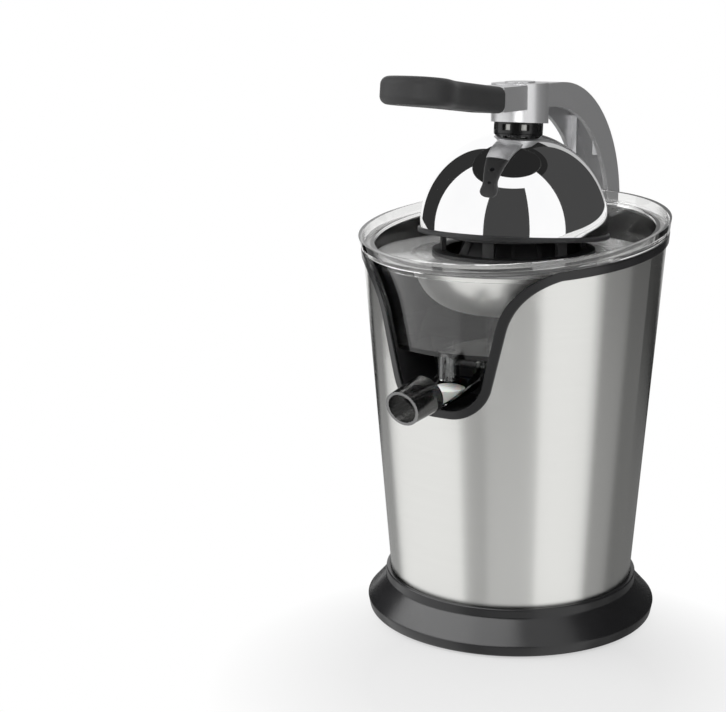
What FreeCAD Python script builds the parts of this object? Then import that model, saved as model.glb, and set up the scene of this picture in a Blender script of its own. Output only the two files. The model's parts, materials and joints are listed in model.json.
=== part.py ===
import FreeCAD
import Part

import math
import os

V = FreeCAD.Vector

# A counter-top citrus press. Millimetres, +Z up, the spout at the front (-Y), the lever's hinge at the
# back (+Y), and the origin on the drive axis, level with the surface that the press stands on.

# Fits
SEAT_GAP = 0.1          # pieces fixed to each other
SLIDE_GAP = 0.15        # hexagon shaft in its bores
RUN_GAP = 0.05          # round shafts in their bores
MOVE_GAP = 0.3          # faces that pass each other
AXIAL_GAP = 0.4         # end play of gears and circlips

# Steel shell, a tapered tube measured on its outside
STEEL_FOOT_RADIUS = 74.15
STEEL_FOOT_Z = 22.0
STEEL_TAPER_DEG = 4.45
STEEL_WALL = 1.0
STEEL_TOP_Z = 262.0     # height of the blank before its edge is cut

# Cut edge of the steel: a tilted plane with a notch at the front
EDGE_Z = 227.5
EDGE_TILT_DEG = 6.2
NOTCH_BOTTOM_Z = 139.4
NOTCH_FLAT = 16.4
NOTCH_CORNER_RADIUS = 25.0
NOTCH_SIDE_DEG = 76.0
NOTCH_SIDE_LENGTH = 34.7
NOTCH_FLARE_RADIUS = 41.3
TRIM_WIDTH = 5.0
TRIM_PROUD = 1.2

# Base
NECK_TOP_Z = 25.6
NECK_FOOT_Z = 20.0
NECK_PROUD = 3.0
BASE_FLARE = 11.6
BASE_BAND_Z = 7.2
BASE_UNDERCUT = 1.2
BASE_WALL = 3.0
BASE_LIFT = 1.0         # the base ring clears the surface by this much
LEDGE_WIDTH = 3.0       # what the steel's foot stands on
LEDGE_THICKNESS = 3.0
PLATE_THICKNESS = 2.5
FLANGE_WIDTH = 12.0
FLANGE_THICKNESS = 3.0
BASE_SCREW_HEAD = 1.8
FOOT_HEIGHT = 3.0
FOOT_RADIUS = 9.0
FOOT_TAPER = 1.0        # a foot is this much narrower where it stands
FOOT_INSET = 26.0
FOOT_COUNT = 4
VENT_COUNT = 20
VENT_WIDTH = 3.0
VENT_LENGTH = 22.0
VENT_INNER_RADIUS = 18.0
GLAND_RADIUS = 6.0
GLAND_BORE_RADIUS = 3.4
GLAND_LENGTH = 16.0
GLAND_PROUD = 4.0
GLAND_Z = 13.6

# Liner: the wall behind the steel, the deck that carries the gearbox, and the recess behind the spout
LINER_WALL = 2.0
LINER_FOOT_Z = 128.0
DECK_TOP_Z = 174.0
DECK_THICKNESS = 3.0
RECESS_BACK_Y = -43.0
COLUMN_RADIUS = 4.5     # columns that hold the gearbox's cover
COLUMN_INSET = 6.0
COLUMN_DEGS = (135, 225, 315)
IDLER_COLUMN_INSET = 10.0

# Juice tank
TANK_GAP = 1.6
TANK_WALL = 2.4
TANK_FLOOR = 2.5
RIM_RADIUS = 93.0
RIM_Z = 240.6
RIM_TILT_DEG = 7.07
RIM_BAND = 7.0
RIM_FLARE = 1.2
CHIMNEY_RADIUS = 15.0
CHIMNEY_WALL = 3.0
CHIMNEY_TOP_Z = 210.0
SHELF_Z = 221.0
SHELF_WIDTH = 3.5
SHELF_THICKNESS = 2.5

# Outlet and spout
OUTLET_Y = -72.0
OUTLET_RADIUS = 6.5
OUTLET_BORE_RADIUS = 4.5
OUTLET_LENGTH = 14.5
SPOUT_RADIUS = 13.0     # at its rear
SPOUT_TIP_RADIUS = 10.5
SPOUT_WALL = 1.8
SPOUT_REAR_Y = -57.0
SPOUT_REAR_Z = 160.5
SPOUT_LENGTH = 63.0
SPOUT_SLOPE_DEG = 7.5
SPOUT_MOUTH_DEG = 10.0
SPOUT_TROUGH_LENGTH = 38.0
SPOUT_TROUGH_DROP = 2.5 # the trough's edge below the spout's axis, at the rear
SPOUT_TROUGH_DEG = 9.0  # the edge falls towards the front
SPOUT_PIVOT_Y = -52.0
SPOUT_PIVOT_Z = 164.5
SPOUT_EAR_RADIUS = 4.5
SPOUT_EAR_WIDTH = 2.5
SPOUT_PIN_RADIUS = 2.0
LUG_WIDTH = 3.0
STOP_RADIUS = 9.6       # drip stop
STOP_GAP = 3.2          # from the drip stop to the outlet's mouth
STOP_CROWN_RADIUS = 22.0

# Strainer
FLANGE_RADIUS_GAP = 0.6
STRAINER_FLANGE = 2.5
CAGE_RADIUS = 43.6
CAGE_WALL = 2.6
CAGE_FOOT_Z = 213.0
CAGE_TOP_Z = 238.0
CAGE_LIP_WIDTH = 5.0
CAGE_LIP = 2.0
CAGE_POSTS = 6
CAGE_POST_WIDTH = 7.0
CAGE_POST_DEG = 40.7    # first post, from the right-hand side
CAGE_RING = 3.6
BOWL_RADIUS = 59.0
BOWL_RIM = 2.0
BOWL_WALL = 0.8
BOWL_BOTTOM_Z = 190.0
BOWL_HOLE_RADIUS = 17.0
BOWL_FLAT_RADIUS = 35.4
BOWL_KNEE_INSET = 8.3
BOWL_KNEE_RISE = 8.0
BOWL_SLOTS = 36
BOWL_SLOT_WIDTH = 1.4
BOWL_SLOT_INSET = 6.0
BOWL_SLOT_LENGTH = 16.0
BOWL_SLOT_RISE = 4.0

# Reamer cone
CONE_RADIUS = 34.0
CONE_FOOT_Z = 216.0
CONE_SKIRT = 2.5
CONE_HEIGHT = 48.0
CONE_TIP_RADIUS = 5.0
CONE_TIP_DROP = 3.5
CONE_FLANK_RADIUS = 21.1
CONE_FLANK_RISE = 25.0
CONE_RIBS = 12
CONE_RIB_WIDTH = 2.2
CONE_RIB_PROUD = 2.0
CONE_RIB_INSET = 1.0
CONE_RIB_TIP_RADIUS = 3.0
CONE_RIB_TIP_DROP = 0.5
CONE_HOLLOW_RADIUS = 28.0
CONE_HOLLOW_DEPTH = 7.0
CONE_SOCKET_DEPTH = 28.0
CONE_HUB_RADIUS = 8.0

# Drive shaft and its switch
SHAFT_RADIUS = 5.0
SHAFT_HEX = 10.0        # across flats, in the output gear
SHAFT_TOP_HEX = 8.0     # across flats, in the cone
SHAFT_TRAVEL = 3.0
SHAFT_COLLAR_RADIUS = 8.2
SHAFT_COLLAR = 3.0
CIRCLIP = 1.2
CIRCLIP_WIDTH = 3.0
SHAFT_GROOVE = 0.6
HUB_GROOVE = 1.0
SPRING_WIRE = 1.6
SPRING_LENGTH = 13.0
SWITCH_WIDTH = 20.0
SWITCH_DEPTH = 7.0
PLUNGER_RADIUS = 2.0
PLUNGER_DEPTH = 3.0     # how far the plunger reaches into the switch at rest
SEAL_RADIUS = 12.0
SEAL_BODY = 5.0
SEAL_LIP = 2.0

# Gear train
PRESSURE_DEG = 20.0
ADDENDUM = 0.8          # in modules
DEDENDUM = 1.1
BACKLASH = 0.30
FLANK_STEPS = 3         # straight runs that stand for a tooth's flank
FAST_MODULE = 1.25
FAST_PINION_TEETH = 14
FAST_GEAR_TEETH = 42
SLOW_MODULE = 1.5
SLOW_PINION_TEETH = 15
SLOW_GEAR_TEETH = 45
FAST_FACE = 10.0
SLOW_FACE = 14.0
FLOOR_ROOM = 5.0        # from the tray's floor to the first stage
FACE_STEP = 4.0         # between the two stages
PINION_OVERLAP = 1.0    # motor pinion past its wheel, at each end
IDLER_DEG = 45.0        # direction from the drive axis to the idler
MOTOR_DEG = 190.0       # direction from the idler to the motor
IDLER_PIN_RADIUS = 3.0
IDLER_REST_WALL = 3.0
HUB_RADIUS = 12.0
HUB_RISE = 23.0         # hub above the output gear's face
BUSH_WALL = 3.0
BUSH_LENGTH = 11.0
BOSS_WALL = 3.0

# Gearbox
TRAY_FLOOR_Z = 104.0
TRAY_FLOOR = 3.0
TRAY_WALL = 2.0
TRAY_CLEAR = 1.2        # from the teeth to the wall
COVER_THICKNESS = 3.0
COVER_ROOM = 6.0        # from the output gear to the cover
POST_RADIUS = 5.0
POST_SINK = 1.0         # how far a post is set into the wall
DRIVE_POST_DEGS = (150, 215, 325)
IDLER_POST_DEGS = (100, -10)
MOTOR_HOLE_GAP = 2.0    # round the motor's bush
SCREW_RADIUS = 1.75
SCREW_HEAD_RADIUS = 3.2
SCREW_HEAD = 2.2
SCREW_GRIP = 9.0

# Motor
MOTOR_RADIUS = 31.0
MOTOR_BORE_RADIUS = 17.0
STATOR_HEIGHT = 32.0
STATOR_SLOTS = 12
STATOR_SLOT_RADIUS = 3.0
STATOR_SLOT_INSET = 4.5
BRACKET_WALL = 3.5
BRACKET_PLATE = 4.0
TOP_BRACKET_HEIGHT = 22.0
LOW_BRACKET_HEIGHT = 14.0
BRACKET_VENT_WIDTH = 16.0
BRACKET_VENT_HEIGHT = 6.0
BRACKET_VENT_DEGS = (45, 135)
MOTOR_SCREW_DEGS = (10, 100, 190, 280)
ROTOR_RADIUS = 16.4
ROTOR_HEIGHT = 28.0
MOTOR_SHAFT_RADIUS = 2.5
MOTOR_BUSH_RADIUS = 5.0
FAN_RADIUS = 26.0
FAN_HEIGHT = 9.0
FAN_BLADES = 8
FAN_BLADE = 1.6
FAN_HUB_RADIUS = 7.0
FAN_DISC = 1.5

# Lever: measured in the side view at rest
ARM_WIDTH = 24.0
ARM_WALL = 2.6
ARM_DEPTH = 14.0
ARCH_Y = 35.0
ARCH_Z = 240.0
ARCH_RADIUS = 82.0
ARCH_INNER_Y = 25.0
ARCH_INNER_RADIUS = 77.0
ARCH_INNER_FOOT_DEG = 4.0
HINGE_RADIUS = 8.0
HINGE_PIN_RADIUS = 3.0
HINGE_Z = 226.0
HINGE_PIN_HEAD = 2.0
HINGE_PIN_HEAD_RADIUS = 4.5
STOP_Z = 236.5          # underside of the arm's stop rib
STOP_RIB = 2.6
RIB_Y = 90.0            # stiffening rib on the inside of each of the arm's walls
RIB_THICKNESS = 2.2
RIB_WIDTH = 3.6
RIB_INSET = 1.5
BOSS_RADIUS = 17.0
BOSS_Y = 6.0
BOSS_PROUD = 0.8
CAP_RADIUS = 9.0
CAP_HEIGHT = 0.8
BAR_FRONT_Y = -33.0
TONGUE_WIDTH = 16.0
TONGUE_DEPTH = 6.0
TONGUE_LENGTH = 52.0
GRIP_RISE_DEG = 6.5
GRIP_TAIL_WIDTH = 26.0
GRIP_WAIST_WIDTH = 24.6
GRIP_WAIST_PLACE = 31.4 # from the bar's front
GRIP_FLARE_WIDTH = 28.2
GRIP_FLARE_PLACE = 50.2
GRIP_END_WIDTH = 40.0
GRIP_END_REACH = 18.8   # from the grip's tip
GRIP_NOSE_WIDTH = 26.4
GRIP_NOSE_REACH = 4.0
GRIP_LENGTH = 89.6
GRIP_THICKNESS = 15.0
GRIP_ROUND = 4.5
GRIP_SCREW_PLACES = (16.0, 40.0)
GRIP_SCREW_RADIUS = 1.5
GRIP_SCREW_HEAD_RADIUS = 3.0
GRIP_SCREW_HEAD = 1.6
GRIP_SCREW_SEAT = 2.0   # grip left between a screw's head and the tongue

# Hinge block behind the housing
BLOCK_FOOT_Z = 178.0
BLOCK_LEDGE = 5.6
BLOCK_PAD = 1.0         # the pad reaches this far in front of the knuckle
BLOCK_SCREW_RADIUS = 2.0
BLOCK_SCREW_HEAD_RADIUS = 3.6
BLOCK_SCREW_LENGTH = 12.0
BLOCK_SCREW_HEIGHTS = (188.0, 204.0)

# Press dome: measured along its own axis, which leans back with the lever at rest
DOME_LEAN_DEG = 4.5
DOME_RIM_Z = 236.6
DOME_RADIUS = 56.0
DOME_SKIRT = 2.4
DOME_WALL = 1.2
DOME_LINER_WALL = 1.8
LIP_PROUD = 1.2
LIP_HEIGHT = 3.0
COLLAR_RADIUS = 14.5
COLLAR_TOP = 63.3
COLLAR_RIM = 1.2
COLLAR_SLOTS = 8
COLLAR_SLOT_WIDTH = 5.0
COLLAR_SLOT_DEPTH = 2.0
COLLAR_SLOT_HEIGHT = 3.4
DOME_BOLT_RADIUS = 3.0
DOME_BOLT_HEAD_RADIUS = 6.5
DOME_BOLT_HEAD = 4.0
DOME_BOLT_GRIP = 14.0

FAR = 400.0             # larger than the press, for cutting tools
TINY = 1e-6             # lengths that count as nothing


# Geometry helpers

def turned_x(shape, degrees, y, z):
    """The shape turned about the X axis through (y, z)."""
    copy = shape.copy()
    copy.rotate(V(0, y, z), V(1, 0, 0), degrees)
    return copy


def turned_z(shape, degrees, x=0.0, y=0.0):
    copy = shape.copy()
    copy.rotate(V(x, y, 0), V(0, 0, 1), degrees)
    return copy


def polar(radius, degrees, x=0.0, y=0.0):
    angle = math.radians(degrees)
    return x + radius * math.cos(angle), y + radius * math.sin(angle)


def cylinder(radius, z_low, z_high, x=0.0, y=0.0):
    return Part.makeCylinder(radius, z_high - z_low, V(x, y, z_low))


def tube(outer, inner, z_low, z_high, x=0.0, y=0.0):
    return cylinder(outer, z_low, z_high, x, y).cut(cylinder(inner, z_low, z_high, x, y))


def rod_x(radius, x_low, x_high, y, z):
    return Part.makeCylinder(radius, x_high - x_low, V(x_low, y, z), V(1, 0, 0))


def rod_y(radius, y_low, y_high, x, z):
    return Part.makeCylinder(radius, y_high - y_low, V(x, y_low, z), V(0, 1, 0))


def block(x_low, x_high, y_low, y_high, z_low, z_high):
    return Part.makeBox(x_high - x_low, y_high - y_low, z_high - z_low, V(x_low, y_low, z_low))


def hexagon(across_flats, z_low, z_high):
    corner = across_flats / math.sqrt(3)
    points = [V(*polar(corner, 60 * i), z_low) for i in range(7)]
    return Part.Face(Part.makePolygon(points)).extrude(V(0, 0, z_high - z_low))


def outline(place, start, *steps):
    """Closed wire from start: a point is a line's end, a pair of points is an arc's middle and end."""
    edges = []
    here = start
    for step in steps + (start,):
        if isinstance(step[0], tuple):
            middle, end = step
            edges.append(Part.Arc(place(here), place(middle), place(end)).toShape())
            here = end
        elif math.dist(here, step) > TINY:
            edges.append(Part.LineSegment(place(here), place(step)).toShape())
            here = step
    return Part.Wire(edges)


def in_rz(point):
    return V(point[0], 0, point[1])


def in_xz(point):
    return V(point[0], -FAR, point[1])


def in_xy(point):
    return V(point[0], point[1], 0)


def in_yz(point):
    return V(0, point[0], point[1])


def revolved(start, *steps):
    return Part.Face(outline(in_rz, start, *steps)).revolve(V(0, 0, 0), V(0, 0, 1), 360)


def across(width, start, *steps):
    """A side-view outline given its width, half on each side of the middle plane."""
    face = Part.Face(outline(in_yz, start, *steps))
    face.translate(V(-width / 2, 0, 0))
    return face.extrude(V(width, 0, 0))


def fused(shapes):
    return shapes[0].multiFuse(list(shapes[1:])).removeSplitter()


def ring_of(count, shape, first_deg=0.0):
    return [turned_z(shape, first_deg + 360.0 * i / count) for i in range(count)]


def screw_up(x, y, z_seat, radius, head_radius, head, grip):
    """A screw driven upwards, with the top of its head at z_seat."""
    shank = cylinder(radius, z_seat, z_seat + grip, x, y)
    return cylinder(head_radius, z_seat - head, z_seat, x, y).fuse(shank)


# Values worked out from the driving dimensions

def steel_radius(z):
    return STEEL_FOOT_RADIUS + (z - STEEL_FOOT_Z) * math.tan(math.radians(STEEL_TAPER_DEG))


def taper(offset, z_low, z_high):
    """A solid cone parallel to the steel's outside."""
    low_radius = steel_radius(z_low) + offset
    high_radius = steel_radius(z_high) + offset
    return Part.makeCone(low_radius, high_radius, z_high - z_low, V(0, 0, z_low))


neck_radius = steel_radius(NECK_TOP_Z) + NECK_PROUD
base_radius = neck_radius + BASE_FLARE
plate_radius = base_radius - BASE_UNDERCUT - BASE_WALL - SEAT_GAP
plate_top = FOOT_HEIGHT + PLATE_THICKNESS
flange_inner = plate_radius - FLANGE_WIDTH

liner_out = -(STEEL_WALL + SEAT_GAP)
liner_in = liner_out - LINER_WALL
tank_out = liner_in - TANK_GAP
tank_in = tank_out - TANK_WALL
deck_bottom = DECK_TOP_Z - DECK_THICKNESS
tank_floor_top = DECK_TOP_Z + TANK_FLOOR
outlet_mouth = DECK_TOP_Z - OUTLET_LENGTH
ear_outside = SPOUT_RADIUS - SPOUT_WALL

shelf_radius = steel_radius(SHELF_Z) + tank_in
flange_top = SHELF_Z + STRAINER_FLANGE
cage_window_low = flange_top + CAGE_LIP
cage_window_high = CAGE_TOP_Z - CAGE_RING

fast_distance = FAST_MODULE * (FAST_PINION_TEETH + FAST_GEAR_TEETH) / 2
slow_distance = SLOW_MODULE * (SLOW_PINION_TEETH + SLOW_GEAR_TEETH) / 2
idler_x, idler_y = polar(slow_distance, IDLER_DEG)
motor_x, motor_y = polar(fast_distance, MOTOR_DEG, idler_x, idler_y)


def tip_radius(teeth, module):
    return module * (teeth / 2 + ADDENDUM)


tray_top_of_floor = TRAY_FLOOR_Z + TRAY_FLOOR
fast_low = tray_top_of_floor + FLOOR_ROOM
fast_high = fast_low + FAST_FACE
slow_low = fast_high + FACE_STEP
slow_high = slow_low + SLOW_FACE
cover_low = slow_high + COVER_ROOM
cover_high = cover_low + COVER_THICKNESS
hub_top = slow_high + HUB_RISE
spring_low = hub_top - SHAFT_COLLAR - SPRING_LENGTH
bush_top = cover_low + COVER_THICKNESS + BUSH_LENGTH
shaft_foot = slow_low - AXIAL_GAP - CIRCLIP - SHAFT_COLLAR - SHAFT_TRAVEL
switch_top = shaft_foot - SHAFT_TRAVEL - MOVE_GAP
plunger_top = shaft_foot - MOVE_GAP
plunger_foot = switch_top - PLUNGER_DEPTH
shaft_groove_low = slow_low - AXIAL_GAP - CIRCLIP
shaft_groove_radius = SHAFT_HEX / 2 - SHAFT_GROOVE
hub_groove_low = bush_top + AXIAL_GAP
hub_groove_radius = HUB_RADIUS - HUB_GROOVE
socket_top = CONE_FOOT_Z + CONE_SOCKET_DEPTH
drive_room = tip_radius(SLOW_GEAR_TEETH, SLOW_MODULE) + TRAY_CLEAR
idler_room = tip_radius(FAST_GEAR_TEETH, FAST_MODULE) + TRAY_CLEAR

stator_high = TRAY_FLOOR_Z - TOP_BRACKET_HEIGHT
stator_low = stator_high - STATOR_HEIGHT
motor_low = stator_low - LOW_BRACKET_HEIGHT

arm_top = ARCH_Z + ARCH_RADIUS
arm_bottom = arm_top - ARM_DEPTH
arch_inner_z = arm_bottom - ARCH_INNER_RADIUS
hinge_y = ARCH_Y + ARCH_RADIUS - HINGE_RADIUS
arm_room = ARM_WIDTH - 2 * ARM_WALL
knuckle_width = arm_room - 2 * MOVE_GAP
grip_screw_seat = -TONGUE_DEPTH / 2 - GRIP_SCREW_SEAT

dome_inside = DOME_RADIUS - DOME_WALL
liner_outside = dome_inside - SEAT_GAP
liner_inside = liner_outside - DOME_LINER_WALL
dome_bolt_top = COLLAR_TOP + DOME_BOLT_GRIP


# Cutting tools for the steel's edge

def above_plane(z, tilt_deg):
    """Everything above a plane that rises towards the back."""
    return turned_x(block(-FAR, FAR, -FAR, FAR, z, z + FAR), tilt_deg, 0, z)


def notch_profile(inset):
    """The notch in the front view, drawn in by inset: corner arcs, leaning sides and flared shoulders."""
    side = math.radians(NOTCH_SIDE_DEG)
    out_x, out_z = math.sin(side), -math.cos(side)
    corner_x = NOTCH_FLAT / 2
    corner_z = NOTCH_BOTTOM_Z + NOTCH_CORNER_RADIUS
    corner_r = NOTCH_CORNER_RADIUS - inset
    reach = NOTCH_CORNER_RADIUS + NOTCH_FLARE_RADIUS
    flare_x = corner_x + reach * out_x + NOTCH_SIDE_LENGTH * math.cos(side)
    flare_z = corner_z + reach * out_z + NOTCH_SIDE_LENGTH * math.sin(side)
    flare_r = NOTCH_FLARE_RADIUS + inset
    low = (corner_x, corner_z - corner_r)
    mid_deg = (NOTCH_SIDE_DEG - 90 - 90) / 2
    corner_mid = polar(corner_r, mid_deg, corner_x, corner_z)
    corner_end = (corner_x + corner_r * out_x, corner_z + corner_r * out_z)
    flare_start = (flare_x - flare_r * out_x, flare_z - flare_r * out_z)
    flare_mid = polar(flare_r, (90 + NOTCH_SIDE_DEG + 90) / 2, flare_x, flare_z)
    flare_end = (flare_x, flare_z + flare_r)

    def mirrored(point):
        return -point[0], point[1]

    return outline(
        in_xz, low, (corner_mid, corner_end), flare_start, (flare_mid, flare_end),
        (flare_x, FAR), (-flare_x, FAR), mirrored(flare_end), (mirrored(flare_mid), mirrored(flare_start)),
        mirrored(corner_end), (mirrored(corner_mid), mirrored(low)))


def front_notch(inset, back_y):
    return Part.Face(notch_profile(inset)).extrude(V(0, FAR + back_y, 0))


def opening(inset):
    return above_plane(EDGE_Z + inset, EDGE_TILT_DEG).fuse(front_notch(inset, 0.0))


def tank_opening():
    """The opening inside the trim, down to the deck."""
    return opening(TRIM_WIDTH).common(block(-FAR, FAR, -FAR, FAR, DECK_TOP_Z, FAR))


# Base

def base_ring():
    band_foot = base_radius - BASE_UNDERCUT
    steel_seat = steel_radius(STEEL_FOOT_Z) + SEAT_GAP
    ledge = steel_seat - STEEL_WALL - LEDGE_WIDTH
    body = revolved(
        (band_foot, BASE_LIFT), (base_radius, BASE_BAND_Z), (neck_radius, NECK_FOOT_Z),
        (neck_radius, NECK_TOP_Z), (steel_radius(NECK_TOP_Z) + SEAT_GAP, NECK_TOP_Z),
        (steel_seat, STEEL_FOOT_Z), (ledge, STEEL_FOOT_Z),
        (ledge, STEEL_FOOT_Z - LEDGE_THICKNESS), (neck_radius - BASE_WALL, NECK_FOOT_Z - BASE_WALL),
        (plate_radius, plate_top + FLANGE_THICKNESS), (flange_inner, plate_top + FLANGE_THICKNESS),
        (flange_inner, plate_top), (plate_radius + SEAT_GAP, plate_top), (plate_radius + SEAT_GAP, BASE_LIFT))
    body = body.cut(rod_y(GLAND_RADIUS + SEAT_GAP, 0, FAR, 0, GLAND_Z))
    holes = [cylinder(SCREW_RADIUS, 0, plate_top + FLANGE_THICKNESS, x, y) for x, y in base_screw_places()]
    return body.cut(Part.makeCompound(holes))


def base_screw_places():
    """Halfway between the feet."""
    circle = flange_inner + FLANGE_WIDTH / 2
    return [polar(circle, 360 * (i + 0.5) / FOOT_COUNT) for i in range(FOOT_COUNT)]


def base_plate():
    plate = cylinder(plate_radius, FOOT_HEIGHT, plate_top)
    slot = block(VENT_INNER_RADIUS, VENT_INNER_RADIUS + VENT_LENGTH, -VENT_WIDTH / 2, VENT_WIDTH / 2, 0, FAR)
    plate = plate.cut(Part.makeCompound(ring_of(VENT_COUNT, slot)))
    for x, y in base_screw_places():
        plate = plate.cut(cylinder(SCREW_RADIUS + SEAT_GAP, 0, FAR, x, y))
    return plate


def base_screws():
    grip = PLATE_THICKNESS + FLANGE_THICKNESS
    return [screw_up(x, y, FOOT_HEIGHT, SCREW_RADIUS, SCREW_HEAD_RADIUS, BASE_SCREW_HEAD, grip)
            for x, y in base_screw_places()]


def rubber_feet():
    place = V(plate_radius - FOOT_INSET, 0, 0)
    return ring_of(FOOT_COUNT, Part.makeCone(FOOT_RADIUS - FOOT_TAPER, FOOT_RADIUS, FOOT_HEIGHT, place))


def cord_gland():
    run = (NECK_FOOT_Z - GLAND_Z) / (NECK_FOOT_Z - BASE_BAND_Z)
    skin = neck_radius + BASE_FLARE * run
    front = skin - GLAND_LENGTH + GLAND_PROUD
    body = rod_y(GLAND_RADIUS, front, front + GLAND_LENGTH, 0, GLAND_Z)
    return body.cut(rod_y(GLAND_BORE_RADIUS, 0, FAR, 0, GLAND_Z))


# Housing

def housing_shell():
    shell = taper(0, STEEL_FOOT_Z, STEEL_TOP_Z).cut(taper(-STEEL_WALL, STEEL_FOOT_Z, STEEL_TOP_Z))
    shell = shell.cut(opening(0))
    for z in BLOCK_SCREW_HEIGHTS:
        shell = shell.cut(rod_y(BLOCK_SCREW_RADIUS + SEAT_GAP, 0, FAR, 0, z))
    return shell


def trim_rim():
    band = taper(TRIM_PROUD, STEEL_FOOT_Z, STEEL_TOP_Z).cut(taper(liner_out, STEEL_FOOT_Z, STEEL_TOP_Z))
    return band.common(opening(0)).cut(opening(TRIM_WIDTH))


def recess(inset, back_y):
    return front_notch(inset, back_y).common(block(-FAR, FAR, -FAR, 0, 0, DECK_TOP_Z))


def column_places():
    around_drive = [polar(drive_room - COLUMN_INSET, degrees) for degrees in COLUMN_DEGS]
    return around_drive + [polar(idler_room - IDLER_COLUMN_INSET, IDLER_DEG, idler_x, idler_y)]


def liner():
    outer = taper(liner_out, LINER_FOOT_Z, STEEL_TOP_Z)
    inner = taper(liner_in, LINER_FOOT_Z, STEEL_TOP_Z)
    deck = outer.common(block(-FAR, FAR, -FAR, FAR, deck_bottom, DECK_TOP_Z))
    pocket = outer.common(recess(TRIM_WIDTH - LINER_WALL, RECESS_BACK_Y + LINER_WALL))
    columns = [cylinder(COLUMN_RADIUS, cover_high, DECK_TOP_Z, x, y) for x, y in column_places()]
    seal_seat = cylinder(SEAL_RADIUS + LINER_WALL, DECK_TOP_Z - SEAL_BODY, DECK_TOP_Z)
    body = fused([outer.cut(inner), deck, pocket, seal_seat] + columns)
    body = body.cut(recess(TRIM_WIDTH, RECESS_BACK_Y)).cut(tank_opening())
    body = body.cut(cylinder(SEAL_RADIUS + SEAT_GAP, 0, FAR))
    for x, y in column_places():
        body = body.cut(cylinder(SCREW_RADIUS + SEAT_GAP, 0, cover_high + SCREW_GRIP, x, y))
    for z in BLOCK_SCREW_HEIGHTS:
        body = body.cut(rod_y(BLOCK_SCREW_HEAD_RADIUS + SEAT_GAP, 0, FAR, 0, z))
    return body


def shaft_seal():
    lip = SHAFT_RADIUS + RUN_GAP
    return revolved(
        (lip, DECK_TOP_Z - SEAL_BODY), (SEAL_RADIUS, DECK_TOP_Z - SEAL_BODY), (SEAL_RADIUS, DECK_TOP_Z),
        (lip + SEAL_LIP, DECK_TOP_Z), (lip, DECK_TOP_Z - SEAL_BODY / 2))


# Juice tank, strainer and spout

def tilted_rim(*points):
    """A ring about the rim's tilted axis: each point is a radius and a height from the rim's plane."""
    ring = revolved(*[(radius, RIM_Z + rise) for radius, rise in points])
    return turned_x(ring, RIM_TILT_DEG, 0, RIM_Z)


def juice_tank():
    wall = taper(tank_out, DECK_TOP_Z, STEEL_TOP_Z).cut(taper(tank_in, tank_floor_top, STEEL_TOP_Z))
    wall = wall.cut(above_plane(RIM_Z - RIM_BAND + TANK_WALL / 2, RIM_TILT_DEG))
    shoulder = steel_radius(RIM_Z) + tank_in - TANK_WALL
    band_foot = RIM_RADIUS - RIM_FLARE
    band = tilted_rim(
        (RIM_RADIUS, 0), (RIM_RADIUS - TANK_WALL, 0), (band_foot - TANK_WALL, TANK_WALL - RIM_BAND),
        (shoulder, TANK_WALL - RIM_BAND), (shoulder, -RIM_BAND), (band_foot, -RIM_BAND))
    inside = taper(tank_in, tank_floor_top, STEEL_TOP_Z)
    below_band = band.cut(inside)
    shelf = inside.common(tube(FAR, shelf_radius - SHELF_WIDTH, SHELF_Z - SHELF_THICKNESS, SHELF_Z))
    chimney = cylinder(CHIMNEY_RADIUS, DECK_TOP_Z, CHIMNEY_TOP_Z)
    body = fused([wall, below_band, shelf, chimney])
    body = body.cut(cylinder(CHIMNEY_RADIUS - CHIMNEY_WALL, 0, FAR))
    return body.cut(cylinder(OUTLET_BORE_RADIUS, 0, FAR, 0, OUTLET_Y))


def spout_lug(side):
    inner = ear_outside + MOVE_GAP
    low, high = sorted((side * inner, side * (inner + LUG_WIDTH)))
    plate = block(low, high, SPOUT_PIVOT_Y - SPOUT_EAR_RADIUS, SPOUT_PIVOT_Y + SPOUT_EAR_RADIUS,
                  SPOUT_PIVOT_Z, DECK_TOP_Z)
    lug = plate.fuse(rod_x(SPOUT_EAR_RADIUS, low, high, SPOUT_PIVOT_Y, SPOUT_PIVOT_Z))
    return lug.cut(rod_x(SPOUT_PIN_RADIUS, low, high, SPOUT_PIVOT_Y, SPOUT_PIVOT_Z))


def spout_lugs():
    return [spout_lug(side) for side in (-1, 1)]


def spout_pin():
    half = ear_outside + MOVE_GAP + LUG_WIDTH
    return rod_x(SPOUT_PIN_RADIUS, -half, half, SPOUT_PIVOT_Y, SPOUT_PIVOT_Z)


def outlet_tube():
    return tube(OUTLET_RADIUS, OUTLET_BORE_RADIUS, outlet_mouth, DECK_TOP_Z, 0, OUTLET_Y)


def spout_placed(shape):
    """The spout's own frame: the axis runs forwards from zero at its rear, and slopes down to the front."""
    placed = shape.copy()
    placed.translate(V(0, SPOUT_REAR_Y, SPOUT_REAR_Z))
    return turned_x(placed, SPOUT_SLOPE_DEG, SPOUT_REAR_Y, SPOUT_REAR_Z)


def spout_taper(inset, rear):
    """The spout's tapered outside drawn in by inset, longer than the spout so that the mouth cut ends it."""
    stretch = SPOUT_LENGTH + SPOUT_RADIUS
    slim = (SPOUT_RADIUS - SPOUT_TIP_RADIUS) / SPOUT_LENGTH
    return Part.makeCone(SPOUT_RADIUS - inset - slim * rear, SPOUT_RADIUS - inset - slim * stretch,
                         stretch - rear, V(0, -rear, 0), V(0, -1, 0))


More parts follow.
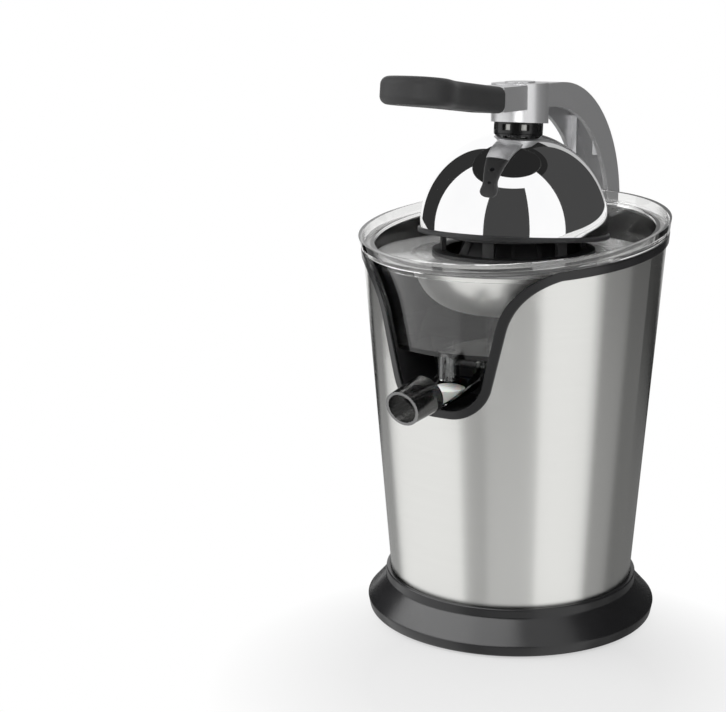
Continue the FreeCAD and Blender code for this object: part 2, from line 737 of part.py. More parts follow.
def spout_ear(side):
    low, high = sorted((side * ear_outside, side * (ear_outside - SPOUT_EAR_WIDTH)))
    front = (SPOUT_PIVOT_Y - SPOUT_EAR_RADIUS, SPOUT_PIVOT_Z)
    top = (SPOUT_PIVOT_Y, SPOUT_PIVOT_Z + SPOUT_EAR_RADIUS)
    rear = (SPOUT_PIVOT_Y + SPOUT_EAR_RADIUS, SPOUT_PIVOT_Z)
    face = Part.Face(outline(
        in_yz, front, (top, rear),
        (SPOUT_REAR_Y - SPOUT_WALL, SPOUT_REAR_Z - SPOUT_RADIUS / 2),
        (SPOUT_REAR_Y - SPOUT_RADIUS, SPOUT_REAR_Z - SPOUT_TROUGH_DROP)))
    face.translate(V(low, 0, 0))
    return face.extrude(V(high - low, 0, 0))


def spout():
    trough = block(-FAR, FAR, -SPOUT_TROUGH_LENGTH, FAR, -SPOUT_TROUGH_DROP, FAR)
    trough = turned_x(trough, SPOUT_TROUGH_DEG, 0, -SPOUT_TROUGH_DROP)
    mouth = turned_x(block(-FAR, FAR, -FAR, -SPOUT_LENGTH, -FAR, FAR), SPOUT_MOUTH_DEG, -SPOUT_LENGTH, 0)
    body = spout_taper(0, 0).cut(trough).cut(mouth)
    bore = spout_placed(spout_taper(SPOUT_WALL, SPOUT_WALL))
    pin = rod_x(SPOUT_PIN_RADIUS + RUN_GAP, -FAR, FAR, SPOUT_PIVOT_Y, SPOUT_PIVOT_Z)
    return fused([spout_placed(body), spout_ear(-1), spout_ear(1)]).cut(bore).cut(pin)


def drip_stop():
    """A soft plug in the trough, under the outlet's mouth."""
    top = outlet_mouth - STOP_GAP
    bore = spout_placed(spout_taper(SPOUT_WALL + SEAT_GAP, SPOUT_WALL + SEAT_GAP))
    plug = cylinder(STOP_RADIUS, 0, top, 0, OUTLET_Y).common(bore)
    return plug.common(Part.makeSphere(STOP_CROWN_RADIUS, V(0, OUTLET_Y, top - STOP_CROWN_RADIUS)))


def strainer_flange():
    return tube(shelf_radius - FLANGE_RADIUS_GAP, CAGE_RADIUS + SEAT_GAP, SHELF_Z, flange_top)


def cage_wall(z_low, z_high):
    return tube(CAGE_RADIUS, CAGE_RADIUS - CAGE_WALL, z_low, z_high)


def strainer_cage():
    """The cage's lower ring, with the lip that rests on the flange."""
    lip = tube(CAGE_RADIUS + CAGE_LIP_WIDTH, CAGE_RADIUS - CAGE_WALL, flange_top, cage_window_low)
    return cage_wall(CAGE_FOOT_Z, cage_window_low).fuse(lip)


def cage_posts():
    post = block(0, FAR, -CAGE_POST_WIDTH / 2, CAGE_POST_WIDTH / 2, 0, FAR)
    post = post.common(cage_wall(cage_window_low, cage_window_high))
    return ring_of(CAGE_POSTS, post, CAGE_POST_DEG)


def cage_ring():
    return cage_wall(cage_window_high, CAGE_TOP_Z)


def strainer_bowl():
    rim_z = SHELF_Z - BOWL_WALL
    floor_top = BOWL_BOTTOM_Z + BOWL_WALL
    knee = BOWL_RADIUS - BOWL_KNEE_INSET
    arc_out = ((knee, BOWL_BOTTOM_Z + BOWL_KNEE_RISE), (BOWL_FLAT_RADIUS, BOWL_BOTTOM_Z))
    arc_in = ((knee - BOWL_WALL, floor_top + BOWL_KNEE_RISE), (BOWL_RADIUS - BOWL_WALL, rim_z))
    body = revolved(
        (BOWL_RADIUS + BOWL_RIM, rim_z), (BOWL_RADIUS, rim_z), arc_out, (BOWL_HOLE_RADIUS, BOWL_BOTTOM_Z),
        (BOWL_HOLE_RADIUS, floor_top), (BOWL_FLAT_RADIUS, floor_top), arc_in,
        (BOWL_RADIUS - BOWL_WALL, SHELF_Z), (BOWL_RADIUS + BOWL_RIM, SHELF_Z))
    slot_start = BOWL_HOLE_RADIUS + BOWL_SLOT_INSET
    slot = block(slot_start, slot_start + BOWL_SLOT_LENGTH, -BOWL_SLOT_WIDTH / 2, BOWL_SLOT_WIDTH / 2,
                 BOWL_BOTTOM_Z - BOWL_WALL, BOWL_BOTTOM_Z + BOWL_SLOT_RISE)
    return body.cut(Part.makeCompound(ring_of(BOWL_SLOTS, slot)))


# Cone, drive shaft and switch

def reamer_cone():
    skirt_top = CONE_FOOT_Z + CONE_SKIRT
    tip_z = CONE_FOOT_Z + CONE_HEIGHT
    flank_mid = (CONE_FLANK_RADIUS, CONE_FOOT_Z + CONE_FLANK_RISE)
    flank_end = (CONE_TIP_RADIUS, tip_z - CONE_TIP_DROP)
    body = revolved((0, CONE_FOOT_Z), (CONE_RADIUS, CONE_FOOT_Z), (CONE_RADIUS, skirt_top),
                    (flank_mid, flank_end), (0, tip_z))
    rib_mid = (flank_mid[0] + CONE_RIB_PROUD, flank_mid[1] + CONE_RIB_PROUD)
    rib_end = (CONE_RIB_TIP_RADIUS, tip_z - CONE_RIB_TIP_DROP)
    rib_root = CONE_FOOT_Z + CONE_HOLLOW_DEPTH + CONE_RIB_PROUD
    rib_face = Part.Face(outline(in_rz, (0, rib_root), (CONE_RADIUS - CONE_RIB_INSET, skirt_top),
                                 (rib_mid, rib_end), (0, tip_z - CONE_RIB_INSET)))
    rib_face.translate(V(0, -CONE_RIB_WIDTH / 2, 0))
    rib = rib_face.extrude(V(0, CONE_RIB_WIDTH, 0))
    body = fused([body] + ring_of(CONE_RIBS, rib))
    hollow = tube(CONE_HOLLOW_RADIUS, CONE_HUB_RADIUS, CONE_FOOT_Z, CONE_FOOT_Z + CONE_HOLLOW_DEPTH)
    return body.cut(hollow).cut(hexagon(SHAFT_TOP_HEX + 2 * SEAT_GAP, CONE_FOOT_Z, socket_top + SEAT_GAP))


def drive_shaft():
    lower = hexagon(SHAFT_HEX, shaft_foot, hub_top)
    collar = cylinder(SHAFT_COLLAR_RADIUS, hub_top - SHAFT_COLLAR, hub_top)
    middle = cylinder(SHAFT_RADIUS, hub_top - SHAFT_COLLAR, CONE_FOOT_Z)
    upper = hexagon(SHAFT_TOP_HEX, hub_top, socket_top)
    groove = tube(FAR, shaft_groove_radius, shaft_groove_low, shaft_groove_low + CIRCLIP)
    return fused([lower, collar, middle, upper]).cut(groove)


def circlip(inner, z_low):
    ring = tube(inner + CIRCLIP_WIDTH, inner + SEAT_GAP / 2, z_low, z_low + CIRCLIP)
    mouth = block(-CIRCLIP_WIDTH / 2, CIRCLIP_WIDTH / 2, -FAR, 0, z_low, z_low + CIRCLIP)
    return ring.cut(mouth)


def shaft_circlip():
    return circlip(shaft_groove_radius, shaft_groove_low)


def hub_circlip():
    return circlip(hub_groove_radius, hub_groove_low)


def return_spring():
    outer = SHAFT_COLLAR_RADIUS - MOVE_GAP
    return tube(outer, outer - SPRING_WIRE, spring_low, spring_low + SPRING_LENGTH)


def micro_switch():
    body = block(-SWITCH_WIDTH / 2, SWITCH_WIDTH / 2, -SWITCH_DEPTH / 2, SWITCH_DEPTH / 2,
                 tray_top_of_floor, switch_top)
    well = plunger_foot - SHAFT_TRAVEL - MOVE_GAP
    return body.cut(cylinder(PLUNGER_RADIUS + RUN_GAP, well, FAR))


def switch_plunger():
    return cylinder(PLUNGER_RADIUS, plunger_foot, plunger_top)


# Gears

def gear(teeth, module, face_low, face_high, x, y, mesh_deg):
    """A spur gear with a tooth centred on mesh_deg; flanks follow the involute of the base circle."""
    pitch = teeth * module / 2
    base = pitch * math.cos(math.radians(PRESSURE_DEG))
    tip = pitch + ADDENDUM * module
    root = pitch - DEDENDUM * module
    start = max(base, root)
    half_tooth = math.pi / (2 * teeth) - BACKLASH / (4 * pitch)

    def involute(radius):
        roll = math.acos(base / radius)
        return math.tan(roll) - roll

    flank = [start + (tip - start) * step / FLANK_STEPS for step in range(FLANK_STEPS + 1)]
    lean = [half_tooth + involute(pitch) - involute(radius) for radius in flank]
    rising = [(root, lean[0])] + list(zip(flank, lean))
    points = []
    for tooth in range(teeth):
        middle = math.radians(mesh_deg) + 2 * math.pi * tooth / teeth
        sides = [(radius, middle - angle) for radius, angle in rising]
        sides += [(radius, middle + angle) for radius, angle in reversed(rising)]
        points += [V(x + r * math.cos(a), y + r * math.sin(a), face_low) for r, a in sides]
    wire = Part.makePolygon(points + points[:1])
    return Part.Face(wire).extrude(V(0, 0, face_high - face_low))


def gap_towards(degrees, teeth):
    """The angle of a tooth when a gap faces the given direction."""
    return degrees + 180.0 / teeth


def output_gear():
    wheel = gear(SLOW_GEAR_TEETH, SLOW_MODULE, slow_low, slow_high, 0, 0, IDLER_DEG)
    hub = cylinder(HUB_RADIUS, slow_high, hub_top)
    body = wheel.fuse(hub)
    body = body.cut(hexagon(SHAFT_HEX + 2 * SLIDE_GAP, slow_low, hub_top))
    body = body.cut(cylinder(SHAFT_COLLAR_RADIUS + MOVE_GAP, spring_low, hub_top))
    groove = tube(FAR, hub_groove_radius, hub_groove_low, hub_groove_low + CIRCLIP)
    return body.cut(groove)


def idler_gear():
    to_drive = IDLER_DEG + 180
    small = gear(SLOW_PINION_TEETH, SLOW_MODULE, fast_high, slow_high, idler_x, idler_y,
                 gap_towards(to_drive, SLOW_PINION_TEETH))
    large = gear(FAST_GEAR_TEETH, FAST_MODULE, fast_low, fast_high, idler_x, idler_y, MOTOR_DEG)
    return large.fuse(small).cut(cylinder(IDLER_PIN_RADIUS + RUN_GAP, 0, FAR, idler_x, idler_y))


def idler_axle():
    return cylinder(IDLER_PIN_RADIUS, TRAY_FLOOR_Z, cover_high, idler_x, idler_y)


def motor_pinion():
    wheel = gear(FAST_PINION_TEETH, FAST_MODULE, fast_low - PINION_OVERLAP, fast_high + PINION_OVERLAP,
                 motor_x, motor_y, gap_towards(MOTOR_DEG + 180, FAST_PINION_TEETH))
    return wheel.cut(cylinder(MOTOR_SHAFT_RADIUS, 0, FAR, motor_x, motor_y))


# Gearbox

def gearbox_outline(extra):
    """Two circles round the gears, joined by their common tangents."""
    drive_r = drive_room + extra
    idler_r = idler_room + extra
    spread = math.degrees(math.acos((drive_r - idler_r) / slow_distance))
    return outline(
        in_xy, polar(drive_r, IDLER_DEG + spread),
        (polar(drive_r, IDLER_DEG + 180), polar(drive_r, IDLER_DEG - spread)),
        polar(idler_r, IDLER_DEG - spread, idler_x, idler_y),
        (polar(idler_r, IDLER_DEG, idler_x, idler_y), polar(idler_r, IDLER_DEG + spread, idler_x, idler_y)))


def gearbox_prism(extra, z_low, z_high):
    face = Part.Face(gearbox_outline(extra))
    face.translate(V(0, 0, z_low))
    return face.extrude(V(0, 0, z_high - z_low))


def post_places():
    reach = TRAY_WALL + POST_RADIUS - POST_SINK
    around_drive = [polar(drive_room + reach, degrees) for degrees in DRIVE_POST_DEGS]
    around_idler = [polar(idler_room + reach, degrees, idler_x, idler_y) for degrees in IDLER_POST_DEGS]
    return around_drive + around_idler


def gearbox_tray():
    body = gearbox_prism(TRAY_WALL, TRAY_FLOOR_Z, cover_low)
    posts = [cylinder(POST_RADIUS, TRAY_FLOOR_Z, cover_low, x, y) for x, y in post_places()]
    body = fused([body] + posts).cut(gearbox_prism(0, tray_top_of_floor, cover_low))
    rest_radius = IDLER_PIN_RADIUS + IDLER_REST_WALL
    rest = cylinder(rest_radius, tray_top_of_floor, fast_low - AXIAL_GAP, idler_x, idler_y)
    body = body.fuse(rest)
    body = body.cut(cylinder(IDLER_PIN_RADIUS, 0, FAR, idler_x, idler_y))
    body = body.cut(cylinder(MOTOR_BUSH_RADIUS + MOTOR_HOLE_GAP, 0, FAR, motor_x, motor_y))
    for x, y in post_places():
        body = body.cut(cylinder(SCREW_RADIUS, 0, FAR, x, y))
    for x, y in motor_screw_places():
        body = body.cut(cylinder(SCREW_RADIUS, 0, FAR, x, y))
    return body


def gearbox_cover():
    boss_radius = HUB_RADIUS + RUN_GAP + BUSH_WALL + BOSS_WALL
    posts = [cylinder(POST_RADIUS, cover_low, cover_high, x, y) for x, y in post_places()]
    plate = gearbox_prism(TRAY_WALL, cover_low, cover_high)
    body = fused([plate, cylinder(boss_radius, cover_low, bush_top)] + posts)
    body = body.cut(cylinder(boss_radius - BOSS_WALL, 0, FAR))
    body = body.cut(cylinder(IDLER_PIN_RADIUS, 0, FAR, idler_x, idler_y))
    for x, y in post_places() + column_places():
        body = body.cut(cylinder(SCREW_RADIUS, 0, FAR, x, y))
    return body


def output_bush():
    bore = HUB_RADIUS + RUN_GAP
    return tube(bore + BUSH_WALL, bore, cover_low, bush_top)


def gearbox_screws():
    low = TRAY_FLOOR_Z
    return [screw_up(x, y, low, SCREW_RADIUS, SCREW_HEAD_RADIUS, SCREW_HEAD, cover_high - low)
            for x, y in post_places()]


def cover_screws():
    return [screw_up(x, y, cover_low, SCREW_RADIUS, SCREW_HEAD_RADIUS, SCREW_HEAD, SCREW_GRIP)
            for x, y in column_places()]


# Motor, hung under the gearbox

def motor_screw_places():
    circle = MOTOR_RADIUS - BRACKET_WALL - SCREW_HEAD_RADIUS
    return [polar(circle, degrees, motor_x, motor_y) for degrees in MOTOR_SCREW_DEGS]


def motor_stator():
    ring = tube(MOTOR_RADIUS, MOTOR_BORE_RADIUS, stator_low, stator_high, motor_x, motor_y)
    slot = cylinder(STATOR_SLOT_RADIUS, stator_low, stator_high, MOTOR_BORE_RADIUS + STATOR_SLOT_INSET)
    slots = ring_of(STATOR_SLOTS, slot)
    for shape in slots:
        shape.translate(V(motor_x, motor_y, 0))
    return ring.cut(Part.makeCompound(slots))


def bracket(z_plate, z_rim):
    low, high = sorted((z_plate, z_rim))
    inward = BRACKET_PLATE if z_rim > z_plate else -BRACKET_PLATE
    cup = cylinder(MOTOR_RADIUS, low, high, motor_x, motor_y)
    room_low, room_high = sorted((z_plate + inward, z_rim))
    cup = cup.cut(cylinder(MOTOR_RADIUS - BRACKET_WALL, room_low, room_high, motor_x, motor_y))
    cup = cup.cut(cylinder(MOTOR_BUSH_RADIUS, 0, FAR, motor_x, motor_y))
    vent_z = (room_low + room_high) / 2
    vent = block(-FAR, FAR, -BRACKET_VENT_WIDTH / 2, BRACKET_VENT_WIDTH / 2,
                 vent_z - BRACKET_VENT_HEIGHT / 2, vent_z + BRACKET_VENT_HEIGHT / 2)
    for degrees in BRACKET_VENT_DEGS:
        slot = turned_z(vent, degrees)
        slot.translate(V(motor_x, motor_y, 0))
        cup = cup.cut(slot)
    return cup


def motor_top_bracket():
    body = bracket(TRAY_FLOOR_Z, stator_high)
    for x, y in motor_screw_places():
        body = body.cut(cylinder(SCREW_RADIUS + SEAT_GAP, 0, FAR, x, y))
    return body


def motor_low_bracket():
    return bracket(motor_low, stator_low)


def motor_bushes():
    bore = MOTOR_SHAFT_RADIUS + RUN_GAP
    return [tube(MOTOR_BUSH_RADIUS, bore, z, z + BRACKET_PLATE, motor_x, motor_y)
            for z in (motor_low, TRAY_FLOOR_Z - BRACKET_PLATE)]


def motor_screws():
    low = TRAY_FLOOR_Z - BRACKET_PLATE
    return [screw_up(x, y, low, SCREW_RADIUS, SCREW_HEAD_RADIUS, SCREW_HEAD, BRACKET_PLATE + TRAY_FLOOR)
            for x, y in motor_screw_places()]


def motor_rotor():
    middle = (stator_low + stator_high) / 2
    core = cylinder(ROTOR_RADIUS, middle - ROTOR_HEIGHT / 2, middle + ROTOR_HEIGHT / 2, motor_x, motor_y)
    fan_low = motor_low - AXIAL_GAP - FAN_HEIGHT
    return core.fuse(cylinder(MOTOR_SHAFT_RADIUS, fan_low, fast_high + PINION_OVERLAP, motor_x, motor_y))


def motor_fan():
    high = motor_low - AXIAL_GAP
    hub = cylinder(FAN_HUB_RADIUS, high - FAN_HEIGHT, high)
    blade = block(0, FAN_RADIUS, -FAN_BLADE / 2, FAN_BLADE / 2, high - FAN_HEIGHT, high - FAN_DISC)
    disc = cylinder(FAN_RADIUS, high - FAN_DISC, high)
    fan = fused([hub, disc] + ring_of(FAN_BLADES, blade))
    fan = fan.cut(cylinder(MOTOR_SHAFT_RADIUS, 0, FAR))
    fan.translate(V(motor_x, motor_y, 0))
    return fan


# Lever

def lever_arm():
    back_y = ARCH_Y + ARCH_RADIUS
    inner_foot = polar(ARCH_INNER_RADIUS, ARCH_INNER_FOOT_DEG, ARCH_INNER_Y, arch_inner_z)
    inner_mid = polar(ARCH_INNER_RADIUS, (90 + ARCH_INNER_FOOT_DEG) / 2, ARCH_INNER_Y, arch_inner_z)
    arch = across(
        ARM_WIDTH, (BOSS_Y, arm_top), (ARCH_Y, arm_top),
        (polar(ARCH_RADIUS, 45, ARCH_Y, ARCH_Z), (back_y, ARCH_Z)), (back_y, HINGE_Z),
        ((hinge_y, HINGE_Z - HINGE_RADIUS), (hinge_y - HINGE_RADIUS, HINGE_Z)), inner_foot,
        (inner_mid, (ARCH_INNER_Y, arm_bottom)), (BOSS_Y, arm_bottom))
    web = ARCH_RADIUS - ARM_WALL
    room_front = BOSS_Y + BOSS_RADIUS
    room = across(
        arm_room, (room_front, arm_top - ARM_WALL), (ARCH_Y, arm_top - ARM_WALL),
        (polar(web, 45, ARCH_Y, ARCH_Z), (back_y - ARM_WALL, ARCH_Z)), (back_y - ARM_WALL, STOP_Z),
        (back_y + ARM_WALL, STOP_Z), (back_y + ARM_WALL, 0), (room_front, 0))
    stop = block(-ARM_WIDTH / 2, ARM_WIDTH / 2, hinge_y - HINGE_RADIUS, back_y, STOP_Z, STOP_Z + STOP_RIB)
    ribs = [arm_rib(side).common(arch) for side in (-1, 1)]
    bar = block(-ARM_WIDTH / 2, ARM_WIDTH / 2, BAR_FRONT_Y, BOSS_Y, arm_bottom, arm_top)
    boss = cylinder(BOSS_RADIUS, arm_bottom - BOSS_RADIUS, arm_top + BOSS_PROUD, 0, BOSS_Y)
    boss = boss.cut(dome_placed(block(-FAR, FAR, -FAR, FAR, -FAR, COLLAR_TOP)))
    body = fused([arch.cut(room), stop.common(arch), bar, boss, grip_tongue(0.0)] + ribs)
    body = body.cut(rod_x(HINGE_PIN_RADIUS + RUN_GAP, -FAR, FAR, hinge_y, HINGE_Z))
    body = body.cut(dome_placed(cylinder(DOME_BOLT_RADIUS, 0, dome_bolt_top)))
    return body.cut(grip_placed(Part.makeCompound(grip_screw_holes(GRIP_SCREW_RADIUS))))


def arm_rib(side):
    """A stiffening rib on the inside of one of the arm's walls, from the web down."""
    low, high = sorted((side * ARM_WIDTH / 2, side * (arm_room / 2 - RIB_WIDTH)))
    drop = math.sqrt(ARCH_INNER_RADIUS ** 2 - (RIB_Y - ARCH_INNER_Y) ** 2)
    return block(low, high, RIB_Y - RIB_THICKNESS / 2, RIB_Y + RIB_THICKNESS / 2,
                 arch_inner_z + drop + RIB_INSET, arm_top)


def grip_placed(shape):
    """The grip's own frame: its rear at the bar's front, its middle height at zero, rising to the front."""
    placed = shape.copy()
    placed.translate(V(0, BAR_FRONT_Y, (arm_top + arm_bottom) / 2))
    return turned_x(placed, -GRIP_RISE_DEG, BAR_FRONT_Y, (arm_top + arm_bottom) / 2)


def grip_tongue(gap):
    half = TONGUE_WIDTH / 2 + gap
    depth = TONGUE_DEPTH / 2 + gap
    return grip_placed(block(-half, half, -TONGUE_LENGTH - gap, ARM_WALL, -depth, depth))


def grip_screw_holes(radius):
    return [cylinder(radius, -FAR, TONGUE_DEPTH / 2, 0, -place) for place in GRIP_SCREW_PLACES]


def lever_grip():
    tail = GRIP_TAIL_WIDTH / 2
    right = [(tail, 0), (GRIP_WAIST_WIDTH / 2, -GRIP_WAIST_PLACE), (GRIP_FLARE_WIDTH / 2, -GRIP_FLARE_PLACE),
             (GRIP_END_WIDTH / 2, GRIP_END_REACH - GRIP_LENGTH),
             (GRIP_NOSE_WIDTH / 2, GRIP_NOSE_REACH - GRIP_LENGTH), (0, -GRIP_LENGTH)]
    left = [(-x, y) for x, y in reversed(right[:-1])]
    side = Part.BSplineCurve()
    side.interpolate([V(x, y, -GRIP_THICKNESS / 2) for x, y in right + left])
    tail_edge = Part.LineSegment(V(-tail, 0, -GRIP_THICKNESS / 2), V(tail, 0, -GRIP_THICKNESS / 2))
    face = Part.Face(Part.Wire([side.toShape(), tail_edge.toShape()]))
    body = face.extrude(V(0, 0, GRIP_THICKNESS))
    level = [edge for edge in body.Edges if edge.BoundBox.ZLength < TINY]
    body = body.makeFillet(GRIP_ROUND, [edge for edge in level if edge.BoundBox.YLength > GRIP_ROUND])
    heads = grip_screw_holes(GRIP_SCREW_HEAD_RADIUS)
    head_room = block(-FAR, FAR, -FAR, FAR, -FAR, grip_screw_seat)
    body = body.cut(Part.makeCompound(heads).common(head_room))
    body = body.cut(Part.makeCompound(grip_screw_holes(GRIP_SCREW_RADIUS + SEAT_GAP)))
    bar_room = block(-FAR, FAR, BAR_FRONT_Y - SEAT_GAP, FAR, -FAR, FAR)
    return grip_placed(body).cut(grip_tongue(SEAT_GAP)).cut(bar_room)


def grip_screws():
    head_radius = GRIP_SCREW_HEAD_RADIUS - SEAT_GAP
    grip = GRIP_SCREW_SEAT + TONGUE_DEPTH
    screws = [screw_up(0, -place, grip_screw_seat, GRIP_SCREW_RADIUS, head_radius, GRIP_SCREW_HEAD, grip)
              for place in GRIP_SCREW_PLACES]
    return [grip_placed(screw) for screw in screws]


def boss_cap():
    low = arm_top + BOSS_PROUD
    return cylinder(CAP_RADIUS, low, low + CAP_HEIGHT, 0, BOSS_Y)


def hinge_pin():
    half = ARM_WIDTH / 2 + MOVE_GAP
    pin = rod_x(HINGE_PIN_RADIUS, -half, half, hinge_y, HINGE_Z)
    heads = [rod_x(HINGE_PIN_HEAD_RADIUS, low, low + HINGE_PIN_HEAD, hinge_y, HINGE_Z)
             for low in (-half - HINGE_PIN_HEAD, half)]
    return fused([pin] + heads)


def hinge_block():
    """Bracket on the back of the steel: a knuckle in the arm's channel, a pad under its rib and a ledge."""
    knuckle = HINGE_RADIUS - MOVE_GAP
    ledge_z = HINGE_Z - HINGE_RADIUS
    pad_y = hinge_y - HINGE_RADIUS - BLOCK_PAD
    pad_z = STOP_Z - MOVE_GAP
    back_y = hinge_y + HINGE_RADIUS + BLOCK_LEDGE
    body = across(
        knuckle_width, (0, BLOCK_FOOT_Z), (steel_radius(BLOCK_FOOT_Z) + BLOCK_LEDGE, BLOCK_FOOT_Z),
        (back_y, ledge_z - BLOCK_LEDGE), (back_y, ledge_z),
        (hinge_y, HINGE_Z - knuckle),
        ((hinge_y + knuckle, HINGE_Z), (hinge_y, HINGE_Z + knuckle)), (hinge_y - knuckle / 2, pad_z),
        (pad_y, pad_z), (pad_y, HINGE_Z), (0, HINGE_Z))
    body = body.cut(taper(SEAT_GAP, STEEL_FOOT_Z, STEEL_TOP_Z))
    body = body.cut(rod_x(HINGE_PIN_RADIUS, -FAR, FAR, hinge_y, HINGE_Z))
    for z in BLOCK_SCREW_HEIGHTS:
        body = body.cut(rod_y(BLOCK_SCREW_RADIUS, 0, steel_radius(z) + BLOCK_SCREW_LENGTH, 0, z))
    return body


def hinge_screws():
    screws = []
    for z in BLOCK_SCREW_HEIGHTS:
        seat = steel_radius(z - BLOCK_SCREW_HEAD_RADIUS) - STEEL_WALL - SEAT_GAP
        head = rod_y(BLOCK_SCREW_HEAD_RADIUS, seat - LINER_WALL, seat, 0, z)
        shank = rod_y(BLOCK_SCREW_RADIUS, seat, steel_radius(z) + BLOCK_SCREW_LENGTH, 0, z)
        screws.append(head.fuse(shank))
    return screws


# Press dome, built upright on its rim's plane and then leaned back

def dome_placed(shape):
    placed = shape.copy()
    placed.translate(V(0, 0, DOME_RIM_Z))
    return turned_x(placed, -DOME_LEAN_DEG, 0, DOME_RIM_Z)


def bell(radius, foot):
    """A solid bell: a straight skirt under a half sphere."""
    arc_mid = polar(radius, 45, 0, DOME_SKIRT)
    return revolved((0, foot), (radius, foot), (radius, DOME_SKIRT), (arc_mid, (0, DOME_SKIRT + radius)))


def press_dome():
    body = bell(DOME_RADIUS, 0).cut(bell(dome_inside, 0))
    return dome_placed(body.cut(cylinder(DOME_BOLT_RADIUS + SEAT_GAP, 0, FAR)))


def dome_liner():
    lip = cylinder(DOME_RADIUS + LIP_PROUD, -LIP_HEIGHT, -SEAT_GAP)
    body = bell(liner_outside, -LIP_HEIGHT).fuse(lip).cut(bell(liner_inside, -LIP_HEIGHT))
    return dome_placed(body.cut(cylinder(DOME_BOLT_RADIUS + SEAT_GAP, 0, FAR)))


def dome_collar():
    low = DOME_SKIRT + math.sqrt(DOME_RADIUS ** 2 - COLLAR_RADIUS ** 2)
    body = cylinder(COLLAR_RADIUS, low, COLLAR_TOP).cut(bell(DOME_RADIUS + SEAT_GAP, 0))
    slot_top = COLLAR_TOP - COLLAR_RIM
    slot = block(COLLAR_RADIUS - COLLAR_SLOT_DEPTH, FAR, -COLLAR_SLOT_WIDTH / 2, COLLAR_SLOT_WIDTH / 2,
                 slot_top - COLLAR_SLOT_HEIGHT, slot_top)
    body = body.cut(Part.makeCompound(ring_of(COLLAR_SLOTS, slot)))
    return dome_placed(body.cut(cylinder(DOME_BOLT_RADIUS + SEAT_GAP, 0, FAR)))


def dome_bolt():
    seat = DOME_SKIRT + math.sqrt(liner_inside ** 2 - DOME_BOLT_HEAD_RADIUS ** 2)
    head = cylinder(DOME_BOLT_HEAD_RADIUS, seat - DOME_BOLT_HEAD, seat - SEAT_GAP)
    return dome_placed(head.fuse(cylinder(DOME_BOLT_RADIUS, seat - DOME_BOLT_HEAD, dome_bolt_top)))


# One file for each piece, with identical fasteners kept together as a group of solids

PIECES = [
    base_ring, base_plate, base_screws, rubber_feet, cord_gland, housing_shell, trim_rim, liner, shaft_seal,
    juice_tank, outlet_tube, spout_lugs, spout_pin, spout, drip_stop, strainer_flange, strainer_cage,
    cage_posts, cage_ring, strainer_bowl, reamer_cone, drive_shaft, shaft_circlip, return_spring,
    micro_switch, switch_plunger,
    output_gear, hub_circlip, idler_gear, idler_axle, motor_pinion, gearbox_tray, gearbox_cover, output_bush,
    gearbox_screws, cover_screws, motor_stator, motor_top_bracket, motor_low_bracket, motor_bushes,
    motor_screws, motor_rotor, motor_fan, lever_arm, lever_grip, grip_screws, boss_cap, hinge_pin,
    hinge_block, hinge_screws, press_dome, dome_liner, dome_collar, dome_bolt,
]

os.makedirs("parts", exist_ok=True)
for make in PIECES:
    made = make()
    shape = Part.makeCompound(made) if isinstance(made, list) else made
    shape.exportStep("parts/" + make.__name__ + ".step")
    print(make.__name__, len(shape.Solids), "solids", round(shape.Volume / 1000, 2), "cm3", shape.isValid())
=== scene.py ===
# %% [markdown]
# # A lever citrus press
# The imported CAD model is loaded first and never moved. Every piece of it gets a finish here, and a few
# pieces are made again with softer edges, because a mirror or a moulded rim shows every facet and
# sharp corner.

import json
import math

import bmesh
import bpy
from mathutils import Matrix, Vector


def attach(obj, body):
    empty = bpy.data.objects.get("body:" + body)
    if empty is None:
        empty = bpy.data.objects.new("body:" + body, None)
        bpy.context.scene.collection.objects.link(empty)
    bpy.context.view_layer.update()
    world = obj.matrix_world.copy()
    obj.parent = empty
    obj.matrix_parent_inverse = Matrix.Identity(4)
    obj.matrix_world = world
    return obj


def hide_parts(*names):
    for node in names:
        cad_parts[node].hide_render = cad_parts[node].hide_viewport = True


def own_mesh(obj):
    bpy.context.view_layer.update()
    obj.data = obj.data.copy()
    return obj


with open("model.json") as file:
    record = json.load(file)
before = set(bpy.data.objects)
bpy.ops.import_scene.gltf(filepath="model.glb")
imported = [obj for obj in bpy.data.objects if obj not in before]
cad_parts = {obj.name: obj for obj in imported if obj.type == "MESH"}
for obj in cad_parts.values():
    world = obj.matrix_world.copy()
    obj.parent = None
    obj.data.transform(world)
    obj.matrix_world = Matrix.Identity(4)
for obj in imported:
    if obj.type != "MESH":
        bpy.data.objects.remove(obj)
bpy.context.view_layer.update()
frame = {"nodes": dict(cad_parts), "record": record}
nodes = frame["nodes"]
MM = 0.001

# %% [markdown]
# ## The camera
# The photograph was taken from the front right, a little above the tank's rim, with a long lens. The
# camera stands where the lines of the rim, the base and the notch say that it stood.

# %% Place the camera
CAMERA_PLACE = Vector((0.4555, -0.78895, 0.36795))
CAMERA_RIGHT = Vector((0.81336, 0.58165, -0.01121))
CAMERA_UP = Vector((-0.12122, 0.18828, 0.97461))
CAMERA_LENS = 75.69
CAMERA_SENSOR = 36.0


def put(name, data):
    """A new object in the scene."""
    thing = bpy.data.objects.new(name, data)
    bpy.context.scene.collection.objects.link(thing)
    return thing


camera = put("camera", bpy.data.cameras.new("camera"))
camera.data.lens = CAMERA_LENS
camera.data.sensor_width = CAMERA_SENSOR
facing = Matrix((CAMERA_RIGHT, CAMERA_UP, CAMERA_RIGHT.cross(CAMERA_UP))).transposed()
camera.matrix_world = Matrix.Translation(CAMERA_PLACE) @ facing.to_4x4()
bpy.context.scene.camera = camera
bpy.context.scene.view_settings.view_transform = "Standard"
print("camera at", tuple(camera.location))

# %% [markdown]
# ## Helpers for materials
# Colours are written as sRGB hex, the way a colour card gives them, and one function turns them to the
# linear values that a shader adds up. One function adds a node, with its settings, its fixed values and
# its links.

# %% Colour and node helpers
BEVEL_SAMPLES = 6


